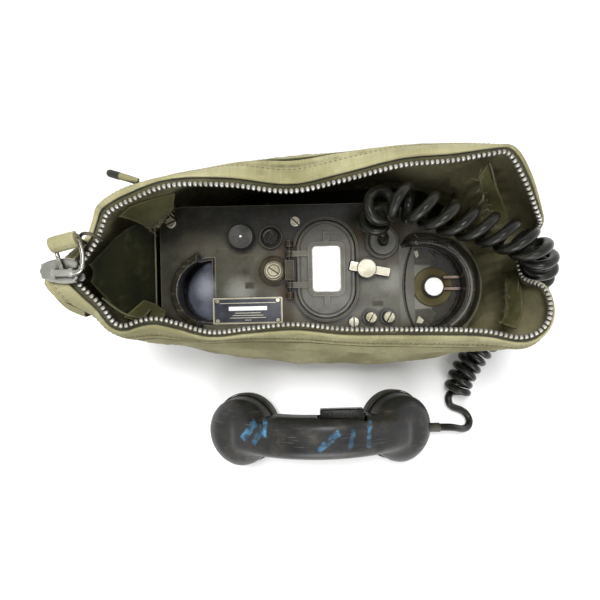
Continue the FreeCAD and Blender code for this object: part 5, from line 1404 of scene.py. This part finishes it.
def makeRoll():
    # a strip of webbing wound round the pull's bar: a spiral section carried along the axis
    look = rollLook
    centre, axis, steps, slices = look["centre"], look["axis"], look["steps"], look["slices"]
    across = axis.cross(upwards).normalized()
    rise = across.cross(axis)
    outer = []
    inner = []
    for n in range(steps + 1):
        share = n / steps
        angle = share * look["turns"] * 2 * math.pi + look["startAngle"]
        reach = look["radius"] * (look["innerShare"] + (1 - look["innerShare"]) * share)
        for line, radius in ((outer, reach), (inner, reach - look["ply"])):
            line.append((math.cos(angle) * radius, math.sin(angle) * radius))
    loop = outer + inner[::-1]
    vertices = []
    for n in range(slices + 1):
        along = (n / slices - 0.5) * look["width"]
        squeeze = 1 - look["squeeze"] * abs(2 * n / slices - 1) ** 6
        for a, b in loop:
            bump = 1 + look["uneven"] * noise.noise(Vector((a * 900, b * 900, along * 200)))
            vertices.append(centre + axis * along + (across * a + rise * b) * squeeze * bump)
    count = len(loop)
    faces = gridFaces(slices + 1, count, closed=True)
    for end, base in ((0, 0), (1, slices * count)):
        for n in range(steps):
            quad = (base + n, base + n + 1, base + count - 2 - n, base + count - 1 - n)
            faces.append(quad if end else quad[::-1])
    uvs = [((v - centre).dot(axis), (v - centre).dot(across) + 0.3 * (v - centre).z) for v in vertices]
    roll = addPiece("pull_webbing", vertices, faces, uvs)
    dress(roll, "zip_pull", "bandCloth", "webbing", "webbing_loop")


def makeStrapEnd():
    # a flat braided end with a dark dipped tip
    look = strapLook
    low, high = [Vector(corner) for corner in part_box("strap_end")]
    middle = (low.z + high.z) / 2
    start = Vector((high.x, low.y + look["inset"], middle))
    end = Vector((low.x + 0.6 * mm, high.y - look["inset"], middle + 1.0 * mm))
    over = start.lerp(end, 0.35) + Vector((0, 0, 0.8 * mm))
    run = splinePoints([start, over, start.lerp(end, 0.7), end], 10)
    cut = int(len(run) * look["cutShare"])

    def braidRadius(share):
        return look["braid"] * (1 + look["braidUneven"] * math.sin(share * 60))

    def tipRadius(share):
        return look["tip"] * (1 - look["tipNarrows"] * smoothstep((share - 0.75) / 0.25))
    braid = addSweep("strap_braid", run[:cut + 1], braidRadius, 12)
    dress(braid, "root", "bandCloth", "webbing", "strap_end")
    dress(addSweep("strap_tip", run[cut:], tipRadius, 14), "root", "blackRubber", "black_rubber")


makeTeeth()
makeSlider()
makePull()
makeRoll()
makeStrapEnd()
hoop = addSweep("band_hoop", splinePoints(mmPoints(hoopLook["line"]), 12), hoopLook["wire"], 12)
dress(hoop, "root", "hoopWire", "zip_metal")
print("zip and pull made")


# Panel details: bare labels, collars, knob, switches, the plain plate and the cover's bead, all in mm

panelLook = {
    "top": 100.0, "labelThick": 0.18, "labelTilt": 0.03,
    # (x, y, width, height)
    "labels": [(-77.7, 18.6, 10.0, 4.7), (-57.0, 13.4, 9.5, 4.7), (-58.4, 2.1, 7.0, 4.7),
               (-56.3, -8.9, 7.0, 4.7), (44.1, -25.3, 8.7, 4.0)],
    "hingeShade": (-29.2, -24.4, -6.0, 10.0),
    # centre (x, y), then (radius, height) of the turned form, then finish and slot
    "collars": {
        "selector_base": ((-36.9, 2.0), [(0, 100.7), (11.4, 100.7), (12.0, 100.4), (12.1, 99.9)],
                          "hingeBrown", "grey_metal"),
        "selector_collar": ((-36.9, 2.0), [(0, 103.1), (8.4, 103.1), (9.3, 102.8), (9.9, 102.0),
                                           (10.0, 99.9)], "collarSteel", "grey_metal"),
        "selector_washer": ((-36.9, 2.0), [(0, 103.9), (7.2, 103.9), (7.5, 103.6), (7.6, 102.8)],
                            "oldBrass", "grey_metal"),
        "line_switch_ring": ((-38.8, 28.1), [(0, 102.8), (5.9, 102.8), (6.3, 103.3), (6.9, 103.3),
                                             (7.3, 102.8), (8.4, 102.5), (9.0, 101.7), (9.1, 99.9)],
                             "switchBlack", "dark_plastic"),
    },
    "groove": {"centre": (-36.9, 2.0), "radius": 4.4, "wire": 0.32},
}
knobLook = {
    "centre": (-61.6, 28.8), "flutes": 40, "fluteDeep": 0.16 * mm, "fluted": (9.45 * mm, 9.7 * mm),
    "profile": [(0, 107.7), (8.0, 107.7), (8.4, 108.0), (9.0, 108.0), (9.35, 107.5), (9.5, 106.6),
                (9.6, 103.6), (10.2, 102.9), (10.5, 102.0), (10.5, 100.5), (0, 100.5)],
    "dot": [(0, 107.95), (0.95 * 0.7, 107.9), (0.95, 107.6)],
}
plateLook = {
    "margin": 1.1, "fieldThick": 0.12, "ruleLevels": (0.1, 0.2),
    # (x, y, width, height, finish)
    "rules": [(-58.0, -26.9, 30.0, 3.2, "whitePlastic"), (-58.0, -30.4, 20.0, 0.5, "creamMetal"),
              (-58.0, -32.3, 24.0, 0.5, "creamMetal"), (-58.0, -34.2, 28.0, 0.5, "creamMetal"),
              (-58.0, -36.0, 5.0, 0.5, "creamMetal"), (-58.0, -22.6, 44.0, 0.5, "creamMetal")],
}
beadLook = {"centre": (3.6, 2.2), "radius": 24.6 - 4.8, "straight": 39.8 - 24.6, "height": 104.45,
            "wire": 0.55, "gap": 1.5}


def around(x, y, width, height):
    return x - width / 2, x + width / 2, y - height / 2, y + height / 2


def roundedPlate(name, bounds, low, high, corner, finish, slotName, tilt=0.0):
    x0, x1, y0, y1 = bounds
    ring = []
    for cx, cy, start in ((x1 - corner, y1 - corner, 0), (x0 + corner, y1 - corner, 90),
                          (x0 + corner, y0 + corner, 180), (x1 - corner, y0 + corner, 270)):
        for step in range(5):
            angle = math.radians(start + step * 22.5)
            ring.append((cx + math.cos(angle) * corner, cy + math.sin(angle) * corner))
    platePiece(name, ring, low, high, finish, slotName, tilt)


def platePiece(name, ring, low, high, finish, slotName, tilt=0.0):
    # a flat plate with its upper edge drawn in
    middle = middleOf(ring)
    turn = Matrix.Rotation(tilt, 2)
    soft = min(0.3, (high - low) * 0.4)
    vertices = []
    for level, inset in ((low, 0.0), (high - soft, 0.0), (high, soft)):
        for x, y in ring:
            away = Vector((x, y)) - middle
            spot = middle + turn @ (away * max(0.1, 1 - inset / max(0.4, away.length)))
            vertices.append(Vector((spot.x, spot.y, level)) * mm)
    piece = addPiece(name, vertices, solidFaces(3, len(ring)), smooth=False)
    dress(piece, "root", finish, slotName)


def circle(centre, radius, height, steps):
    angles = [fullTurn * step / steps for step in range(steps)]
    return [Vector((centre[0] + math.cos(a) * radius, centre[1] + math.sin(a) * radius, height)) * mm
            for a in angles]


def ringShape(profile, centre, steps=72):
    # a turned ring: profile is a closed loop of (radius, height)
    vertices = []
    for radius, height in profile:
        vertices += circle(centre, radius, height, steps)
    return vertices, gridFaces(len(profile), steps, closed=True, looped=True)


def makeCollars():
    for name, (centre, profile, finish, slotName) in panelLook["collars"].items():
        piece = addPiece(name, *turned(profile, Vector((*centre, 0)) * mm, 56))
        bevelled(piece, 0.12 * mm, limit_method="ANGLE", angle_limit=0.5)
        dress(piece, "root", finish, slotName)
    groove = panelLook["groove"]
    line = circle(groove["centre"], groove["radius"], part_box("selector")[1][2] / mm, 48)
    piece = addPiece("selector_groove", *closedSweep(line, groove["wire"] * mm, 6))
    dress(piece, "selector", "hingeBrown", "brass")


def makeKnob():
    look = knobLook
    centre = Vector((*look["centre"], 0)) * mm

    def fluted(radius, angle):
        low, high = look["fluted"]
        deep = look["fluteDeep"] if low < radius < high else 0.0
        return radius - deep * (0.5 + 0.5 * math.cos(angle * look["flutes"]))
    knob = addPiece("knob_body", *turned(look["profile"], centre, 240, radiusAt=fluted))
    bevelled(knob, 0.1 * mm, limit_method="ANGLE", angle_limit=0.5)
    dress(knob, "volume_knob", "knobPlastic", "black_plastic", "volume_knob")
    dot = addPiece("knob_dot", *turned(look["dot"], centre, 20))
    dress(dot, "volume_knob", "whitePlastic", "white_plastic")


def makePanelDetails():
    top = panelLook["top"]
    for n, label in enumerate(panelLook["labels"]):
        tilt = panelLook["labelTilt"] * math.sin(n * 2.2)
        roundedPlate(f"label_{n}", around(*label), top, top + panelLook["labelThick"], 0.3, "labelPaint",
                     "olive_paint", tilt=tilt)
    roundedPlate("hinge_shade", panelLook["hingeShade"], top, top + 0.2, 0.6, "hingeBrown", "olive_paint")


def makeCoverBead():
    # a fine raised line round the cover, inside its edge
    look = beadLook
    (x, y), radius = look["centre"], look["radius"]
    line = []
    for turn, rise in ((0, look["straight"]), (180, -look["straight"])):
        for step in range(33):
            angle = math.radians(turn + step * 180 / 32)
            line.append(Vector((x + math.cos(angle) * radius, y + rise + math.sin(angle) * radius,
                                look["height"])) * mm)
    line = evenly(line, gap=look["gap"] * mm, closed=True)
    bead = addPiece("cover_bead", *closedSweep(line, look["wire"] * mm))
    dress(bead, "battery_cover", "coverPaint", "olive_paint")


def makePlate():
    low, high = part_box("name_plate")
    margin = plateLook["margin"]
    field = (low[0] / mm + margin, high[0] / mm - margin, low[1] / mm + margin, high[1] / mm - margin)
    level = high[2] / mm
    roundedPlate("plate_field", field, level, level + plateLook["fieldThick"], 0.5, "plateEnamel",
                 "plate_metal")
    for n, (*rule, finish) in enumerate(plateLook["rules"]):
        foot, top = [level + over for over in plateLook["ruleLevels"]]
        roundedPlate(f"plate_rule_{n}", around(*rule), foot, top, 0.2, finish, "plate_metal")


# The cup: its rounded rim, the flush ledge beside its flat side, a black strip of painted shade for a
# groove, notches dark with their own paint and painted shade, chips and the seal

cupLook = {
    "centre": (79.4, -13.0), "ledge": (61.6, 73.3, -46.5, 20.5), "ledgeLevels": (99.3, 100.08),
    # (radius, height) round the rim, and how far its last three points run out at the right
    "rim": [(32.35, 99.0), (32.3, 100.2), (32.15, 105.4), (32.4, 107.0), (33.5, 107.95), (36.2, 108.05),
            (38.2, 107.5), (39.3, 106.2), (40.7, 103.2), (42.7, 99.9), (42.7, 99.0)],
    "footOut": 2.9, "footFrom": 7, "rimSteps": 120, "wallMiddle": 35.5, "endWidth": 0.35, "panelTop": 100,
    # the rim is full up to one angle from the right, and sinks to its ends at the other
    "fullTo": 101.0, "endAt": 117.0,
    "groove": [(71.9, 19.0), (66.9, 4.5), (64.9, -13), (66.9, -30.5), (72.4, -45.5)],
    "grooveWidth": 2.5, "grooveTop": 100.16, "grooveHigh": 0.25,
    "floor": 92.05,
    # name: (finish, levels over the floor, outline)
    "plates": {
        "cup_notch_0": ("notchPaint", (0, 0.25), [(73.8, 5.2), (88, 4.6), (93, 9.5), (88, 15.6), (79, 17.4),
                                                  (74.2, 16.6)]),
        "cup_notch_1": ("notchPaint", (0, 0.25), [(74, -31.2), (87, -30.4), (92.5, -34), (89, -40.8),
                                                  (80, -43.4), (74.4, -43)]),
        "cup_chip_0": ("creamMetal", (0.2, 0.4), [(75.6, 15.8), (77.4, 10.4), (79.4, 12.4), (78.4, 16.6)]),
        "cup_chip_1": ("creamMetal", (0.2, 0.4), [(76.4, -41.4), (78.6, -36.2), (82.6, -39.8),
                                                  (80.6, -42.4)]),
    },
    "sealCentre": (90.0, -13.0),
    "seal": [(7.7, 92.0), (7.7, 93.7), (9.4, 93.8), (9.9, 93.2), (14.8, 93.0), (15.7, 92.7), (15.9, 92.0)],
    "sealLip": [(7.6, 93.0), (7.6, 94.3), (8.9, 94.3), (9.5, 93.7), (9.5, 93.0)],
}


def makeCupRim():
    look = cupLook
    steps, end, top, middle = look["rimSteps"], look["endAt"], look["panelTop"], look["wallMiddle"]
    (x, y), narrow = look["centre"], look["endWidth"]
    vertices = []
    for n in range(steps + 1):
        degrees = end * (2 * n / steps - 1)
        angle = math.radians(degrees)
        full = smoothstep((end - abs(degrees)) / (end - look["fullTo"]))
        out = look["footOut"] * max(0.0, math.cos(angle)) ** 1.5
        for spot, (radius, height) in enumerate(look["rim"]):
            radius += out * min(2, max(0, spot - look["footFrom"])) / 2
            radius = middle + (radius - middle) * (narrow + (1 - narrow) * full)
            lift = top + (height - top) * full if height > top else height
            vertices.append(Vector((x + math.cos(angle) * radius, y + math.sin(angle) * radius, lift)) * mm)
    rim = addPiece("cup_rim", vertices, solidFaces(steps + 1, len(look["rim"])))
    dress(rim, "root", "rimPaint", "cup_paint")


def makeCupDetails():
    look = cupLook
    roundedPlate("cup_ledge", look["ledge"], *look["ledgeLevels"], 0.2, "panelPatch", "cup_paint")
    width = look["grooveWidth"] / 2 * mm

    def section(share):
        wide = 0.35 + 0.65 * math.sin(math.pi * share) ** 0.6
        return [(a * width * wide, b * look["grooveHigh"] * mm) for a, b in roundSection(1.0, 12)]
    # a black strip of painted shade along the groove beside the cup's flat side
    line = splinePoints(mmPoints([(x, y, look["grooveTop"]) for x, y in look["groove"]]), 12)
    dress(addPiece("cup_groove", *sweepRings(line, section)), "root", "switchBlack", "cup_paint")
    for name, (finish, (low, high), ring) in look["plates"].items():
        platePiece(name, ring, look["floor"] + low, look["floor"] + high, finish, "cup_paint")
    seal = addPiece("seal_ring", *ringShape(look["seal"], look["sealCentre"]))
    dress(seal, "root", "sealRubber", "black_rubber", "hook_seal")
    lip = addPiece("seal_lip", *ringShape(look["sealLip"], look["sealCentre"]))
    dress(lip, "root", "hingeBrown", "black_rubber")


makeCollars()
makeKnob()
makePanelDetails()
makeCoverBead()
makePlate()
makeCupRim()
makeCupDetails()
print("panel dressed")


# Handset: one smooth moulded skin, ridged caps, a glossy talk key and worn paint on the handle

handsetLook = {
    "voxel": 1.0 * mm, "smoothTurns": 5, "endTurns": 130, "smoothing": 0.5, "edgeOut": 4.0 * mm,
    # (border, fade) in mm: the middle's by |x|, y and z, then each end's by |x| twice and z
    "edgeZone": ((54, 16), (-150, 16), (30, 14)), "endZone": ((50, 12), (100, 8), (36, 9)),
    "caps": {"receiver_cap": -1, "transmitter_cap": 1}, "middleY": -145.3 * mm, "tilt": 20.0,
    # (radius, height) of each cap's ridges over a foot that lies ridgeFoot under its middle, in mm
    "ridges": [(33.1, 8.4), (33.2, 10.6)], "ridgeFoot": 6.0, "ridgeWire": 0.42 * mm, "ridgeSteps": 96,
    "key": (-1.6, 37.4, -133.5, -117.8, 53.2, 64.2), "keyRound": 1.7 * mm, "keyLean": 1.2 * mm,
    "paint": (92, 156, 196), "paintDark": (44, 88, 118), "strokeWaver": 0.003,
    # (x, y, half length, half width, angle in degrees, amount) of worn blue brush marks, in mm
    "strokes": [(-66.0, -138.0, 9.0, 2.6, 52, 0.9), (-57.5, -141.0, 8.0, 2.2, 60, 0.75),
                (-51.0, -135.0, 5.5, 1.8, 84, 0.8), (2.0, -146.0, 8.0, 2.4, 40, 0.7),
                (10.0, -138.5, 4.0, 2.6, 30, 0.7), (25.0, -143.0, 8.0, 1.8, 74, 0.3),
                (41.0, -140.0, 10.5, 1.6, 86, 0.45)],
    "softEnd": 2.0, "softSide": 0.7,
}


def makeHandsetSkin():
    look = handsetLook
    skin = bpy.data.objects.new("handset_skin", frame["nodes"]["handset_shell"].data.copy())
    bpy.context.scene.collection.objects.link(skin)
    modify(skin, "REMESH", mode="VOXEL", voxel_size=look["voxel"], use_smooth_shade=True)
    applyAll(skin)
    # the handle's upper edge stands further out between the cups
    ends = skin.vertex_groups.new(name="handle_ends")
    for vertex in skin.data.vertices:
        x, y, z = vertex.co / mm
        x = abs(x)
        (side, sideFade), (front, frontFade), (low, lowFade) = look["edgeZone"]
        out = smoothstep((side - x) / sideFade) * smoothstep((y - front) / frontFade)
        out *= smoothstep((z - low) / lowFade)
        vertex.co.y += look["edgeOut"] * out
        (near, nearFade), (far, farFade), (low, lowFade) = look["endZone"]
        blend = smoothstep((x - near) / nearFade) * smoothstep((far - x) / farFade)
        blend *= smoothstep((z - low) / lowFade)
        if blend > 0:
            ends.add([vertex.index], blend, "REPLACE")
    modify(skin, "SMOOTH", iterations=look["smoothTurns"], factor=look["smoothing"])
    modify(skin, "SMOOTH", iterations=look["endTurns"], factor=look["smoothing"],
           vertex_group="handle_ends")
    applyAll(skin)
    for polygon in skin.data.polygons:
        polygon.use_smooth = True
    paintStrokes(bpy.data.materials["handsetPlastic"].node_tree)
    dress(skin, "handset", "handsetPlastic", "black_plastic", "handset_shell")


def strokeMask(tree, where, x, y, halfLength, halfWidth, degrees):
    # 1 inside one slanted brush mark with soft ends
    turn = math.radians(degrees)
    mask = 1.0
    for axis, half, soft in (((math.cos(turn), math.sin(turn), 0), halfLength, handsetLook["softEnd"]),
                             ((-math.sin(turn), math.cos(turn), 0), halfWidth, handsetLook["softSide"])):
        middle = axis[0] * x + axis[1] * y
        spot = vectorCalc(tree, "DOT_PRODUCT", where, Vector(axis), "Value")
        off = calc(tree, "ABSOLUTE", calc(tree, "SUBTRACT", spot, middle * mm))
        mask = times(tree, span(tree, off, (half + soft) * mm, (half - soft * 0.3) * mm), mask)
    return mask


def paintStrokes(tree):
    look = handsetLook
    shader = tree.nodes["Principled BSDF"]
    where = place(tree)
    before = shader.inputs["Base Color"].links[0].from_socket
    waver = put(tree, "TexNoise", {"Vector": where, "Scale": 260.0, "Detail": 2.0}).outputs["Color"]
    waver = vectorCalc(tree, "SUBTRACT", waver, (0.5, 0.5, 0.5))
    waver = put(tree, "VectorMath", {0: waver, "Scale": look["strokeWaver"]}, operation="SCALE").outputs[0]
    moved = vectorCalc(tree, "ADD", where, waver)
    marks = 0.0
    for *stroke, amount in look["strokes"]:
        marks = calc(tree, "MAXIMUM", times(tree, strokeMask(tree, moved, *stroke), amount), marks)
    high = span(tree, parted(tree, where)["Z"], 0.045, 0.055)
    rubbed = patches(tree, where, 110.0, 0.34, 0.62, detail=6.0, rough=0.7)
    mask = times(tree, times(tree, marks, high), rubbed, clamp=True)
    thin = patches(tree, where, 120.0, 0.36, 0.62, detail=3.0, rough=0.6)
    blue = mixColour(tree, thin, tone(*look["paintDark"]), tone(*look["paint"]))
    connect(tree, shader, {"Base Color": mixColour(tree, mask, before, blue)})


def makeCapRidges():
    # two fine ridges round each cap's rim
    look = handsetLook
    steps = look["ridgeSteps"]
    for name, side in look["caps"].items():
        low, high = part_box(name)
        middle = (Vector(low) + Vector(high)) / 2
        tilt = math.radians(look["tilt"]) * side
        axis = Vector((math.sin(tilt), 0, math.cos(tilt)))
        base = Vector((middle.x, look["middleY"], middle.z))
        across = axis.orthogonal().normalized()
        depth = axis.cross(across)
        parts = []
        for radius, height in look["ridges"]:
            ring = [base + axis * (height - look["ridgeFoot"]) * mm
                    + (across * math.cos(a) + depth * math.sin(a)) * radius * mm
                    for a in (fullTurn * n / steps for n in range(steps))]
            parts.append(closedSweep(ring, look["ridgeWire"], 6))
        dress(addMany(name + "_ridges", parts), "handset", "capPlastic", "black_plastic")


def makeTalkKey():
    corners, faces = boxSolid(*handsetLook["key"])
    # the outer face leans back a little towards its lower edge
    for corner in corners[2:4]:
        corner.y -= handsetLook["keyLean"]
    key = bevelled(addPiece("talk_key", corners, faces), handsetLook["keyRound"], segments=5)
    dress(key, "talk_bar", "switchBlack", "dark_plastic", "talk_bar")


makeHandsetSkin()
makeCapRidges()
makeTalkKey()
print("handset moulded")
